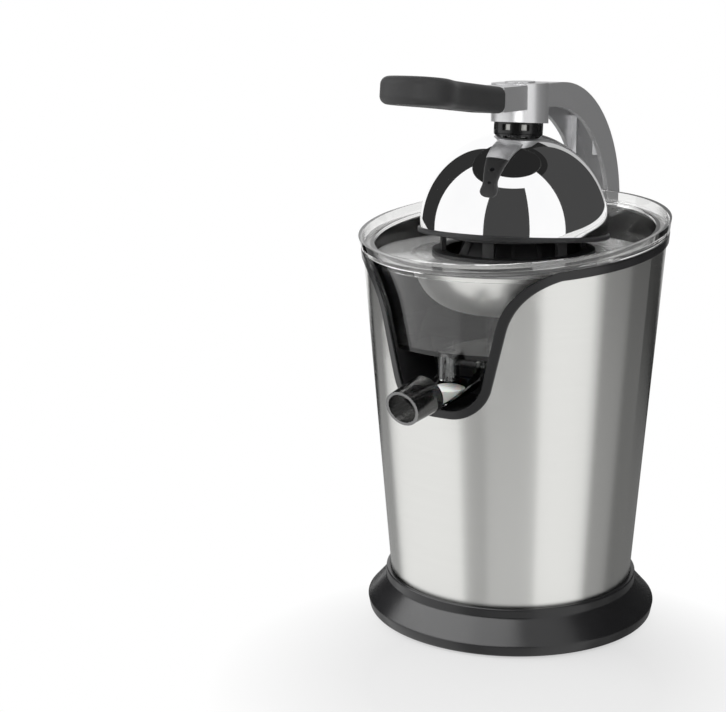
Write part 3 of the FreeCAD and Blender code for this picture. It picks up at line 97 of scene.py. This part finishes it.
def linear(hex_colour):
    """sRGB hex to linear RGBA."""
    channels = [int(hex_colour[i:i + 2], 16) / 255 for i in (1, 3, 5)]
    return [c / 12.92 if c <= 0.04045 else ((c + 0.055) / 1.055) ** 2.4 for c in channels] + [1.0]


def add(tree, kind, values=None, links=None, **settings):
    """Adds a node: its own settings, the fixed values of its sockets and what feeds them."""
    node = tree.nodes.new(kind)
    for name, setting in settings.items():
        setattr(node, name, setting)
    for name, value in (values or {}).items():
        node.inputs[name].default_value = value
    for name, source in (links or {}).items():
        tree.links.new(source, node.inputs[name])
    return node


def new_material(name, colour, **values):
    """A material with a principled shader; underscores stand for the spaces in socket names."""
    material = bpy.data.materials.new(name)
    material.use_nodes = True
    shader = material.node_tree.nodes["Principled BSDF"]
    shader.inputs["Base Color"].default_value = linear(colour)
    for key, value in values.items():
        shader.inputs[key.replace("_", " ")].default_value = value
    return material


def feed(material, socket, output):
    """Links an output to a socket of the principled shader."""
    tree = material.node_tree
    tree.links.new(output, tree.nodes["Principled BSDF"].inputs[socket])


def noise(material, size_mm, density=(1, 1, 1), detail=3.0):
    """Noise of this size in the object's own coordinates; a low density draws it out along an axis."""
    tree = material.node_tree
    place = add(tree, "ShaderNodeTexCoord")
    scaled = add(tree, "ShaderNodeMapping", {"Scale": density}, {"Vector": place.outputs["Object"]})
    return add(tree, "ShaderNodeTexNoise", {"Scale": 1 / (size_mm * MM), "Detail": detail},
               {"Vector": scaled.outputs["Vector"]})


def tint(material, source, dark, light):
    """Lets a noise move the base colour between two colours."""
    mix = add(material.node_tree, "ShaderNodeMixRGB",
              {"Color1": linear(dark), "Color2": linear(light)}, {"Fac": source.outputs["Fac"]})
    feed(material, "Base Color", mix.outputs["Color"])


def roughen(material, source, low, high):
    """Lets a noise move the roughness between two values."""
    spread = add(material.node_tree, "ShaderNodeMapRange", {"To Min": low, "To Max": high},
                 {"Value": source.outputs["Fac"]})
    feed(material, "Roughness", spread.outputs["Result"])


def grain(material, source, depth_mm, edge_mm=0.5):
    """Raises the surface by a noise of this depth, and shades its edges as if they were rounded."""
    tree = material.node_tree
    edge = add(tree, "ShaderNodeBevel", {"Radius": edge_mm * MM}, samples=BEVEL_SAMPLES)
    bump = add(tree, "ShaderNodeBump", {"Distance": depth_mm * MM},
               {"Height": source.outputs["Fac"], "Normal": edge.outputs["Normal"]})
    feed(material, "Normal", bump.outputs["Normal"])


print("material helpers ready")

# %% [markdown]
# ## Plastics
# The black mouldings are ABS. Where the mould was polished they are glossy, with a faint ripple where
# the wall shrank as it cooled. Where it was spark-eroded they are satin, with a fine even grain.


# %% Moulded plastics
def glossy_abs():
    """ABS from a polished mould: a deep black whose gloss breaks up a little over the ripple."""
    material = new_material("glossy_black_abs", "#0f0f10", IOR=1.53)
    ripple = noise(material, size_mm=11.0)
    tint(material, ripple, "#0d0d0e", "#131314")
    roughen(material, ripple, 0.20, 0.30)
    grain(material, ripple, depth_mm=0.02, edge_mm=1.2)
    return material


def satin_abs(name, dark, light, grit_mm=0.5):
    """ABS from a spark-eroded mould: an even grain that spreads the highlights."""
    material = new_material(name, light, IOR=1.53)
    spark = noise(material, grit_mm, detail=2.0)
    tint(material, noise(material, size_mm=14.0), dark, light)
    roughen(material, spark, 0.38, 0.52)
    grain(material, spark, depth_mm=0.03)
    return material


def soft_touch():
    """Rubber-like paint over ABS on the grip: dull, with a slight sheen where it turns away."""
    material = new_material("soft_touch_paint", "#242425", IOR=1.45, Sheen_Weight=0.05,
                            Sheen_Roughness=0.5)
    pores = noise(material, size_mm=0.7, detail=2.0)
    tint(material, noise(material, size_mm=18.0), "#202021", "#292929")
    roughen(material, pores, 0.46, 0.60)
    grain(material, pores, depth_mm=0.02)
    return material


def acetal():
    """Natural acetal for gears: milky and waxy."""
    material = new_material("natural_acetal", "#dcd9cc", IOR=1.48, Subsurface_Weight=0.1,
                            Subsurface_Scale=1.0 * MM)
    cloud = noise(material, size_mm=6.0)
    tint(material, cloud, "#d6d3c5", "#e2dfd3")
    roughen(material, cloud, 0.32, 0.42)
    return material


glossy_black = glossy_abs()
satin_black = satin_abs("satin_black_abs", "#1c1c1d", "#262627")
grey_nylon = satin_abs("grey_glass_filled_nylon", "#4c4d4f", "#5a5b5d", grit_mm=0.8)
grip_paint = soft_touch()
gear_acetal = acetal()
plastics = (glossy_black, satin_black, grey_nylon, grip_paint, gear_acetal)
print("plastics:", [m.name for m in plastics])

# %% [markdown]
# ## Clear and soft mouldings
# The tank, the flange and the outlet are styrene-acrylonitrile (SAN), a hard clear plastic. Smoke in the
# plastic takes some of the light each time that it passes a wall, so the colour is set on the shader and
# stays the same all over, and only the polish varies.


# %% Clear and soft plastics
def clear_plastic(name, colour, roughness=(0.015, 0.05), clarity=1.0):
    """Clear SAN: a polished skin with a faint flow ripple; less clarity leaves it milky."""
    material = new_material(name, colour, IOR=1.57, Transmission_Weight=clarity)
    roughen(material, noise(material, size_mm=16.0), *roughness)
    return material


def silicone():
    """Cast white silicone: soft, slightly see-through and dull."""
    material = new_material("cast_white_silicone", "#e6e6e2", IOR=1.41, Subsurface_Weight=0.3,
                            Subsurface_Scale=2.0 * MM)
    cloud = noise(material, size_mm=3.0)
    tint(material, cloud, "#dededa", "#efefec")
    roughen(material, cloud, 0.35, 0.5)
    return material


def rubber():
    """Moulded nitrile rubber: dull and slightly dusty."""
    material = new_material("black_nitrile_rubber", "#191919", IOR=1.52)
    dust = noise(material, size_mm=2.0)
    tint(material, dust, "#151515", "#232323")
    roughen(material, dust, 0.6, 0.8)
    grain(material, dust, depth_mm=0.05)
    return material


smoked_san = clear_plastic("smoked_san", "#f3f3f2")
clear_san = clear_plastic("clear_san", "#f4f6f5")
hazy_san = clear_plastic("hazy_san", "#f0f0ef", roughness=(0.08, 0.16), clarity=0.78)
dark_san = clear_plastic("dark_smoked_san", "#3c3c3c")
white_silicone = silicone()
black_rubber = rubber()
clear_and_soft = (smoked_san, clear_san, hazy_san, dark_san, white_silicone, black_rubber)
print("clear and soft:", [m.name for m in clear_and_soft])

# %% [markdown]
# ## Metals
# The housing is stainless sheet brushed round the body, so each highlight is drawn out up and down the
# wall and stays narrow from side to side. A radial tangent gives the direction of the brush lines. The
# real lines are about a tenth of a millimetre apart, which is too fine to show, so they are drawn 1 mm
# apart.


# %% Metals
def brushed_stainless():
    """Stainless sheet, brushed round the body."""
    material = new_material("brushed_stainless", "#e2e2df", Metallic=1.0, Anisotropic=0.9,
                            Anisotropic_Rotation=0.25)
    lines = noise(material, size_mm=1.0, density=(0.02, 0.02, 1.0), detail=1.0)
    tint(material, lines, "#e0e0dd", "#e4e4e1")
    roughen(material, lines, 0.25, 0.27)
    around = add(material.node_tree, "ShaderNodeTangent", direction_type="RADIAL", axis="Z")
    feed(material, "Tangent", around.outputs["Tangent"])
    return material


def bare_metal(name, dark, light, roughness, size_mm, depth_mm=0.0, metallic=1.0):
    """A metal with patches of slightly different polish, and a skin as rough as its making left it."""
    material = new_material(name, light, Metallic=metallic)
    patches = noise(material, size_mm)
    tint(material, patches, dark, light)
    roughen(material, patches, *roughness)
    if depth_mm:
        grain(material, patches, depth_mm)
    return material


brushed_steel = brushed_stainless()
bright_steel = bare_metal("bright_stainless", "#f0f0ee", "#f7f7f5", (0.30, 0.40), size_mm=5.0)
chrome = bare_metal("polished_chrome", "#f8f8f9", "#fefefe", (0.02, 0.045), size_mm=20.0)
silver_casting = bare_metal("silver_painted_zinc_casting", "#d2d2d3", "#dcdcdd", (0.30, 0.40),
                            size_mm=0.9, depth_mm=0.01, metallic=0.82)
zinc_plate = bare_metal("zinc_plated_steel", "#b4b4b2", "#c4c4c0", (0.28, 0.42), size_mm=2.0)
bronze = bare_metal("sintered_bronze", "#a97e48", "#bb8f56", (0.35, 0.5), size_mm=0.6, depth_mm=0.02)
laminations = bare_metal("silicon_steel_laminations", "#5d5d60", "#707074", (0.4, 0.55),
                         size_mm=0.8, depth_mm=0.02)
cast_alloy = bare_metal("die_cast_aluminium", "#9c9c9d", "#acacad", (0.4, 0.55),
                        size_mm=1.2, depth_mm=0.03)
black_steel = bare_metal("black_oxide_steel", "#1c1c1e", "#28282a", (0.35, 0.5), size_mm=1.0)
metals = (brushed_steel, bright_steel, chrome, silver_casting, zinc_plate, bronze, laminations,
          cast_alloy, black_steel)
print("metals:", [m.name for m in metals])

# %% [markdown]
# ## Give each CAD piece its finish
# The record already says which slot each node uses, so one table from slots to materials dresses them
# all. Two nodes differ from the rest of their slot: the strainer's flange is a hazier plastic, and the
# grip's screws are blacked.

# %% Dress the CAD nodes
FINISHES = {
    "black_gloss": glossy_black, "black_matte": satin_black, "brushed_steel": brushed_steel,
    "bright_steel": bright_steel, "smoked_clear": smoked_san, "clear": clear_san,
    "smoked_dark": dark_san, "white_silicone": white_silicone, "silver_paint": silver_casting,
    "soft_grip": grip_paint, "chrome": chrome, "black_rubber": black_rubber,
    "zinc_steel": zinc_plate, "acetal": gear_acetal, "bronze": bronze, "lamination": laminations,
    "cast_bracket": cast_alloy, "grey_plastic": grey_nylon,
}
OWN_FINISHES = {"strainer_flange": hazy_san, "grip_screws": black_steel}
for part in frame["record"]["subparts"]:
    mesh = nodes[part["node"]].data
    mesh.materials.clear()
    mesh.materials.append(OWN_FINISHES.get(part["node"], FINISHES[part["material_slot"]]))

# %% [markdown]
# ## Turned pieces
# The base ring, the dome, its liner and the sleeve in the dome's collar are round, so each is a profile
# turned about an axis. The corners of the mouldings are rounded by a small arc, which is what catches a
# thin line of light on the real ones. Profiles are radii and heights in millimetres.

# %% A lathe
LONGEST_CUT = 0.45  # the share of a side that the arc at one end may take


def rounded(corners, radius, steps=4):
    """The closed profile with an arc of this radius at each corner, smaller where a side is short."""
    points = []
    for i, corner in enumerate(corners):
        here = Vector(corner)
        to_before = Vector(corners[i - 1]) - here
        to_after = Vector(corners[(i + 1) % len(corners)]) - here
        half = to_before.angle(to_after) / 2
        shortest = min(to_before.length, to_after.length)
        reach = min(radius / math.tan(half), shortest * LONGEST_CUT)
        start = here + to_before.normalized() * reach
        end = here + to_after.normalized() * reach
        for step in range(steps + 1):
            t = step / steps
            points.append((1 - t) ** 2 * start + 2 * t * (1 - t) * here + t ** 2 * end)
    return points


def arc(radius, centre_z, from_deg, to_deg, steps):
    """Points of a profile's arc about a centre on the axis; angles are up from level."""
    angles = [math.radians(from_deg + (to_deg - from_deg) * i / steps) for i in range(steps + 1)]
    return [Vector((radius * math.cos(a), centre_z + radius * math.sin(a))) for a in angles]


def smooth(mesh, sharp_deg=40.0):
    """Smooth shading, but for edges sharper than this."""
    mesh.shade_smooth()
    mesh.set_sharp_from_angle(angle=math.radians(sharp_deg))


def turned(name, profile, segments=160, place=Matrix.Identity(4)):
    """Turns a closed profile about Z and then moves it to its place."""
    shape = bmesh.new()
    rings = []
    for i in range(segments):
        angle = 2 * math.pi * i / segments
        across, along = math.cos(angle) * MM, math.sin(angle) * MM
        rings.append([shape.verts.new((r * across, r * along, z * MM)) for r, z in profile])
    for i in range(segments):
        ring, following = rings[i], rings[(i + 1) % segments]
        for j in range(len(profile)):
            k = (j + 1) % len(profile)
            shape.faces.new((ring[j], following[j], following[k], ring[k]))
    bmesh.ops.recalc_face_normals(shape, faces=shape.faces)
    shape.transform(place)
    mesh = bpy.data.meshes.new(name)
    shape.to_mesh(mesh)
    shape.free()
    smooth(mesh)
    return mesh


def new_piece(name, mesh, body, material, *replaced):
    """A piece that moves with a body and stands in for the CAD nodes that it replaces."""
    piece = put(name, mesh)
    mesh.materials.append(material)
    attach(piece, body)
    if replaced:
        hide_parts(*replaced)
    return piece


print("lathe ready")

# %% The base ring
BASE_EDGE = 0.9
BASE_PROFILE = [
    (87.8, 1.0), (89.0, 7.2), (77.4, 20.0), (77.4, 25.6),  # the foot, the flare and the neck, outside
    (74.5, 25.6), (74.3, 22.0),  # the neck, inside
    (70.3, 22.0), (70.3, 19.0),  # the ledge under the steel shell
    (74.4, 17.0), (84.7, 8.5),  # the flare, inside
    (72.7, 8.5), (72.7, 5.5),  # the ledge over the base plate
    (84.8, 5.5), (84.8, 1.0),  # the foot, inside
]
base = new_piece("base_moulding", turned("base_moulding", rounded(BASE_PROFILE, BASE_EDGE)),
                 "housing", glossy_black, "base_ring")
print("base ring:", len(base.data.polygons), "faces")

# %% The dome, its liner and the collar's sleeve
DOME_RIM_Z = 236.6
DOME_LEAN_DEG = 4.5
DOME_SKIRT = 2.4
DOME_RADIUS = 56.0
DOME_WALL = 1.2
DOME_STEPS = 64
DOME_SEGMENTS = 256
LINER_OUTSIDE = 54.7
LINER_INSIDE = 52.9
LINER_STEPS = 48
LINER_SEGMENTS = 160
BOLT_HOLE = 3.1
LIP_RADIUS = 57.2
LIP_TOP = -0.1
LIP_BOTTOM = -3.0
LIP_EDGE = 0.7
SLEEVE_INSIDE = 11.5
SLEEVE_OUTSIDE = 12.6
SLEEVE_BOTTOM = 57.5
SLEEVE_TOP = 62.6
SLEEVE_SEGMENTS = 96
dome_lean = Matrix.Rotation(math.radians(-DOME_LEAN_DEG), 4, "X")
dome_place = Matrix.Translation((0, 0, DOME_RIM_Z * MM)) @ dome_lean


def crown_deg(radius):
    """Where an arc of this radius meets the bolt's hole."""
    return math.degrees(math.acos(BOLT_HOLE / radius))


dome_inside = DOME_RADIUS - DOME_WALL
dome_profile = [Vector((dome_inside, 0)), Vector((DOME_RADIUS, 0))]
dome_profile += arc(DOME_RADIUS, DOME_SKIRT, 0, crown_deg(DOME_RADIUS), DOME_STEPS)
dome_profile += arc(dome_inside, DOME_SKIRT, crown_deg(dome_inside), 0, DOME_STEPS)
dome = new_piece("dome_mirror", turned("dome_mirror", dome_profile, DOME_SEGMENTS, dome_place),
                 "lever", chrome, "press_dome")

lip_corners = [(LINER_INSIDE, LIP_BOTTOM), (LIP_RADIUS, LIP_BOTTOM),
               (LIP_RADIUS, LIP_TOP), (LINER_OUTSIDE, LIP_TOP)]
liner_profile = rounded(lip_corners, LIP_EDGE)
liner_profile += arc(LINER_OUTSIDE, DOME_SKIRT, 0, crown_deg(LINER_OUTSIDE), LINER_STEPS)
liner_profile += arc(LINER_INSIDE, DOME_SKIRT, crown_deg(LINER_INSIDE), 0, LINER_STEPS)
liner = new_piece("dome_lining", turned("dome_lining", liner_profile, LINER_SEGMENTS, dome_place),
                  "lever", satin_black, "dome_liner")

sleeve_profile = [(SLEEVE_INSIDE, SLEEVE_BOTTOM), (SLEEVE_OUTSIDE, SLEEVE_BOTTOM),
                  (SLEEVE_OUTSIDE, SLEEVE_TOP), (SLEEVE_INSIDE, SLEEVE_TOP)]
sleeve = new_piece("collar_sleeve",
                   turned("collar_sleeve", sleeve_profile, SLEEVE_SEGMENTS, dome_place),
                   "lever", zinc_plate)
print("dome, liner and sleeve:", [len(piece.data.polygons) for piece in (dome, liner, sleeve)], "faces")

# %% [markdown]
# ## The return spring
# The CAD spring is a plain sleeve. Here it is wound as a coil in the same space.

# %% The return spring
SPRING_WIRE = 1.6 * MM
SPRING_TURNS = 5
WIRE_SIDES = 8
TURN_STEPS = 32


def coil(name, radius, low, high):
    """A round wire wound about Z, with flat ends; the sizes are those of the wire's middle."""
    points, faces = [], []
    up = Vector((0, 0, 1))
    steps = SPRING_TURNS * TURN_STEPS
    for i in range(steps + 1):
        turn = 2 * math.pi * i / TURN_STEPS
        out = Vector((math.cos(turn), math.sin(turn), 0))
        middle = out * radius + up * (low + (high - low) * i / steps)
        for k in range(WIRE_SIDES):
            side = 2 * math.pi * k / WIRE_SIDES
            points.append(middle + (out * math.cos(side) + up * math.sin(side)) * SPRING_WIRE / 2)
            if i < steps:
                a, b = i * WIRE_SIDES + k, i * WIRE_SIDES + (k + 1) % WIRE_SIDES
                faces.append((a, a + WIRE_SIDES, b + WIRE_SIDES, b))
    faces.append(tuple(range(WIRE_SIDES)))
    faces.append(tuple(reversed(range(steps * WIRE_SIDES, (steps + 1) * WIRE_SIDES))))
    mesh = bpy.data.meshes.new(name)
    mesh.from_pydata(points, [], faces)
    smooth(mesh)
    return mesh


cad_spring = nodes["return_spring"]
spots = [cad_spring.matrix_world @ v.co for v in cad_spring.data.vertices]
spring_low = min(p.z for p in spots)
spring_high = max(p.z for p in spots)
wound = coil("coil_spring", max(p.x for p in spots) - SPRING_WIRE / 2,
             spring_low + SPRING_WIRE / 2, spring_high - SPRING_WIRE / 2)
spring = new_piece("coil_spring", wound, "output", zinc_plate, "return_spring")
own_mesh(spring)
print("spring:", len(spring.data.polygons), "faces")

# %% [markdown]
# ## The studio
# The press stands on a pale floor in front of a white background. Three large soft lamps stand at its
# sides and in front of it, and one hangs above. Shiny metal shows the whole room, so a photographer also
# stands flags round it, dark boards that put dark bands between the lamps' reflections. The flags are
# seen by reflections and by nothing else, so they throw no shade. The floor glows white away from
# the press, as in a studio, and in a circle in front of the press its glow is dimmed to a painted shade.

# %% Background and floor
WHITE = (1, 1, 1, 1)
ROOM_LIGHT = 0.55
FLOOR_HALF = 30.0
# Painted shade on the floor: in a circle round a point in front of the press the glow is dimmed and
# partly swapped for the lit paper, fading out between the inner and outer radius.
PAINTED_SHADE_MIDDLE = (0.06, -0.10, 0.0)
PAINTED_SHADE_INNER = 0.08
PAINTED_SHADE_OUTER = 0.17
PAINTED_SHADE_GLOW = 0.9
PAINTED_SHADE_SHARE = 0.6


def seen_directly(tree):
    """1 for camera, glossy and transmission rays, and 0 for the light that falls on things."""
    ray = add(tree, "ShaderNodeLightPath")
    total = ray.outputs["Is Camera Ray"]
    for kind in ("Is Glossy Ray", "Is Transmission Ray"):
        either = add(tree, "ShaderNodeMath", links={0: total, 1: ray.outputs[kind]},
                     operation="MAXIMUM")
        total = either.outputs[0]
    return total


def white_room():
    """A background that is white where it is seen, and weaker as a light."""
    room = bpy.data.worlds.new("studio")
    room.use_nodes = True
    tree = room.node_tree
    background = tree.nodes["Background"]
    background.inputs["Color"].default_value = WHITE
    strength = add(tree, "ShaderNodeMapRange", {"To Min": ROOM_LIGHT, "To Max": 1.0},
                   {"Value": seen_directly(tree)})
    tree.links.new(strength.outputs["Result"], background.inputs["Strength"])
    return room


def beyond_painted_shade(tree, near):
    """A value that rises from near to 1 across the edge of the painted shade round a point in front of
    the press.
    """
    place = add(tree, "ShaderNodeNewGeometry")
    away = add(tree, "ShaderNodeVectorMath", {1: PAINTED_SHADE_MIDDLE}, {0: place.outputs["Position"]},
               operation="DISTANCE")
    ends = {"From Min": PAINTED_SHADE_INNER, "From Max": PAINTED_SHADE_OUTER, "To Min": near, "To Max": 1.0}
    return add(tree, "ShaderNodeMapRange", ends, {"Value": away.outputs["Value"]}).outputs["Result"]


def lit_paper():
    """Paper whose glow is dimmed in a painted shade in front of the press, mixed there with the lit
    paper and its real shadows, and that glows white beyond.
    """
    material = new_material("white_paper", "#b4b4b4", Roughness=0.9)
    tree = material.node_tree
    glow = add(tree, "ShaderNodeEmission", {"Color": WHITE},
               {"Strength": beyond_painted_shade(tree, PAINTED_SHADE_GLOW)})
    share = add(tree, "ShaderNodeMath", operation="MULTIPLY",
                links={0: seen_directly(tree), 1: beyond_painted_shade(tree, PAINTED_SHADE_SHARE)})
    mixed = add(tree, "ShaderNodeMixShader",
                links={"Fac": share.outputs[0], 1: tree.nodes["Principled BSDF"].outputs["BSDF"],
                       2: glow.outputs["Emission"]})
    tree.links.new(mixed.outputs["Shader"], tree.nodes["Material Output"].inputs["Surface"])
    return material


bpy.context.scene.world = white_room()
floor_mesh = bpy.data.meshes.new("floor")
corners = [(x * FLOOR_HALF, y * FLOOR_HALF, 0) for x, y in ((-1, -1), (1, -1), (1, 1), (-1, 1))]
floor_mesh.from_pydata(corners, [], [(0, 1, 2, 3)])
floor_mesh.materials.append(lit_paper())
floor = put("floor", floor_mesh)
floor.visible_glossy = False
print("floor and background ready")

# %% Lamps
LAMP_TARGET = Vector((0, 0, 0.17))
# Each lamp's azimuth and elevation in degrees, its distance and side in metres, and its watts.
LAMPS = {
    "left_softbox": (-62, 28, 1.3, 0.9, 13.0),
    "right_softbox": (92, 30, 1.4, 0.7, 7.0),
    "top_softbox": (20, 82, 1.3, 1.0, 13.0),
    "front_softbox": (-10, 22, 1.4, 0.7, 5.0),
}


def outward(azimuth, elevation):
    """A direction from the press; azimuth 0 is in front of it and 90 on its right."""
    a, e = math.radians(azimuth), math.radians(elevation)
    return Vector((math.sin(a) * math.cos(e), -math.cos(a) * math.cos(e), math.sin(e)))


def area_lamp(name, target, out, distance, width, height, watts):
    """A rectangular lamp that faces its target from this direction and distance."""
    lamp = bpy.data.lights.new(name, "AREA")
    lamp.shape = "RECTANGLE"
    lamp.size = width
    lamp.size_y = height
    lamp.energy = watts
    holder = put(name, lamp)
    facing = out.to_track_quat("Z", "Y").to_matrix().to_4x4()
    holder.matrix_world = Matrix.Translation(target + out * distance) @ facing
    return holder


for name, (azimuth, elevation, distance, side, watts) in LAMPS.items():
    softbox = area_lamp(name, LAMP_TARGET, outward(azimuth, elevation), distance, side, side, watts)
    softbox.visible_glossy = False
print("lamps:", ", ".join(LAMPS))

# %% [markdown]
# ## Strip lights
# Some pieces need a light of their own, as a photographer gives them with a strip light and a black
# card: the flare of the base, the arm, the strainer bowl inside the tank, and the spout. Each strip
# lights only the pieces that it is linked to.

# %% Strip lights
FLARE_MIDDLE = Vector((0, 0, 0.014))
ARM_MIDDLE = Vector((0, 0, 0.3))
BOWL_MIDDLE = Vector((0, 0, 0.2))
SPOUT_MIDDLE = Vector((0, -0.11, 0.155))
arm_pieces = [nodes["lever_arm"], nodes["boss_cap"], nodes["lever_grip"]]
# Each strip's target and pieces, azimuth and elevation, distance, width and height, and watts.
STRIPS = {
    "base_strip": (FLARE_MIDDLE, [base], -35, 55, 1.0, 1.9, 0.9, 14.0),
    "arm_strip": (ARM_MIDDLE, arm_pieces, 25, 0, 1.2, 0.7, 0.7, 4.2),
    "bowl_strip": (BOWL_MIDDLE, [nodes["strainer_bowl"]], -70, -28, 0.8, 1.4, 1.0, 14.0),
    "spout_strip": (SPOUT_MIDDLE, [nodes["spout"]], -35, -25, 0.6, 0.8, 0.8, 5.0),
}


def group(name, pieces):
    """A collection of pieces for a lamp to be linked to."""
    collection = bpy.data.collections.new(name)
    for piece in pieces:
        collection.objects.link(piece)
    return collection


for name, (target, pieces, azimuth, elevation, *sizes) in STRIPS.items():
    strip = area_lamp(name, target, outward(azimuth, elevation), *sizes)
    strip.light_linking.receiver_collection = group(name + "_lights", pieces)
    strip.light_linking.blocker_collection = group(name + "_blocked_by", pieces)
print("strips:", ", ".join(STRIPS))

# %% Flags
DOME_MIDDLE = Vector((0, 0, 0.239))
FLAG_DISTANCE = 2.0
FLAG_COLUMNS = 48
FLAG_ROWS = 12
HIDDEN_FROM = ("camera", "diffuse", "transmission", "volume_scatter", "shadow")
# Each flag's first and last azimuth, its lowest and highest elevation, and its grey.
FLAGS = {
    "front_high": (-6, 49, -13, 52, 0.055),
    "left_high": (-120, -80, -13, 52, 0.03),
    "right_high": (94, 184, -13, 60, 0.06),
    "crown_left": (-130, -9, 52, 66, 0.02),
    "crown_right": (94, 184, 60, 66, 0.02),
    "crown_back": (184, 212, 42, 66, 0.02),
    "crown_top": (-180, 180, 66, 90, 0.02),
    "back_grey": (184, 212, -13, 42, 0.5),
    "front_left_low": (-13, 9, -75, -13, 0.55),
    "front_low": (9, 53, -75, -13, 0.70),
    "right_grey_low": (102, 130, -75, -13, 0.40),
    "right_dark_low": (130, 214, -75, -19, 0.20),
    "right_dark": (130, 156, -19, -13, 0.18),
    "right_edge": (156, 214, -19, -13, 0.02),
    "left_low": (-150, -95, -75, -20, 0.38),
    "left_dark": (-116, -95, -20, -13, 0.30),
    "left_edge": (-150, -116, -20, -13, 0.01),
}


def felt(name, grey):
    """Felt of an even grey, whatever light falls on it."""
    material = bpy.data.materials.new(name)
    material.use_nodes = True
    tree = material.node_tree
    even = add(tree, "ShaderNodeEmission", {"Color": (grey, grey, grey, 1)})
    tree.links.new(even.outputs["Emission"], tree.nodes["Material Output"].inputs["Surface"])
    return material


def flag(name, from_deg, to_deg, low_deg, high_deg, grey):
    """A curved board that covers these azimuths and elevations, as seen from the dome."""
    points, faces = [], []
    across = FLAG_COLUMNS + 1
    for j in range(FLAG_ROWS + 1):
        elevation = low_deg + (high_deg - low_deg) * j / FLAG_ROWS
        for i in range(across):
            azimuth = from_deg + (to_deg - from_deg) * i / FLAG_COLUMNS
            points.append(DOME_MIDDLE + outward(azimuth, elevation) * FLAG_DISTANCE)
            if i < FLAG_COLUMNS and j < FLAG_ROWS:
                k = j * across + i
                faces.append((k, k + 1, k + across + 1, k + across))
    mesh = bpy.data.meshes.new(name)
    mesh.from_pydata(points, [], faces)
    mesh.materials.append(felt(name + "_felt", grey))
    board = put(name, mesh)
    for use in HIDDEN_FROM:
        setattr(board, "visible_" + use, False)


for name, facts in FLAGS.items():
    flag(name, *facts)
print("flags:", ", ".join(FLAGS))
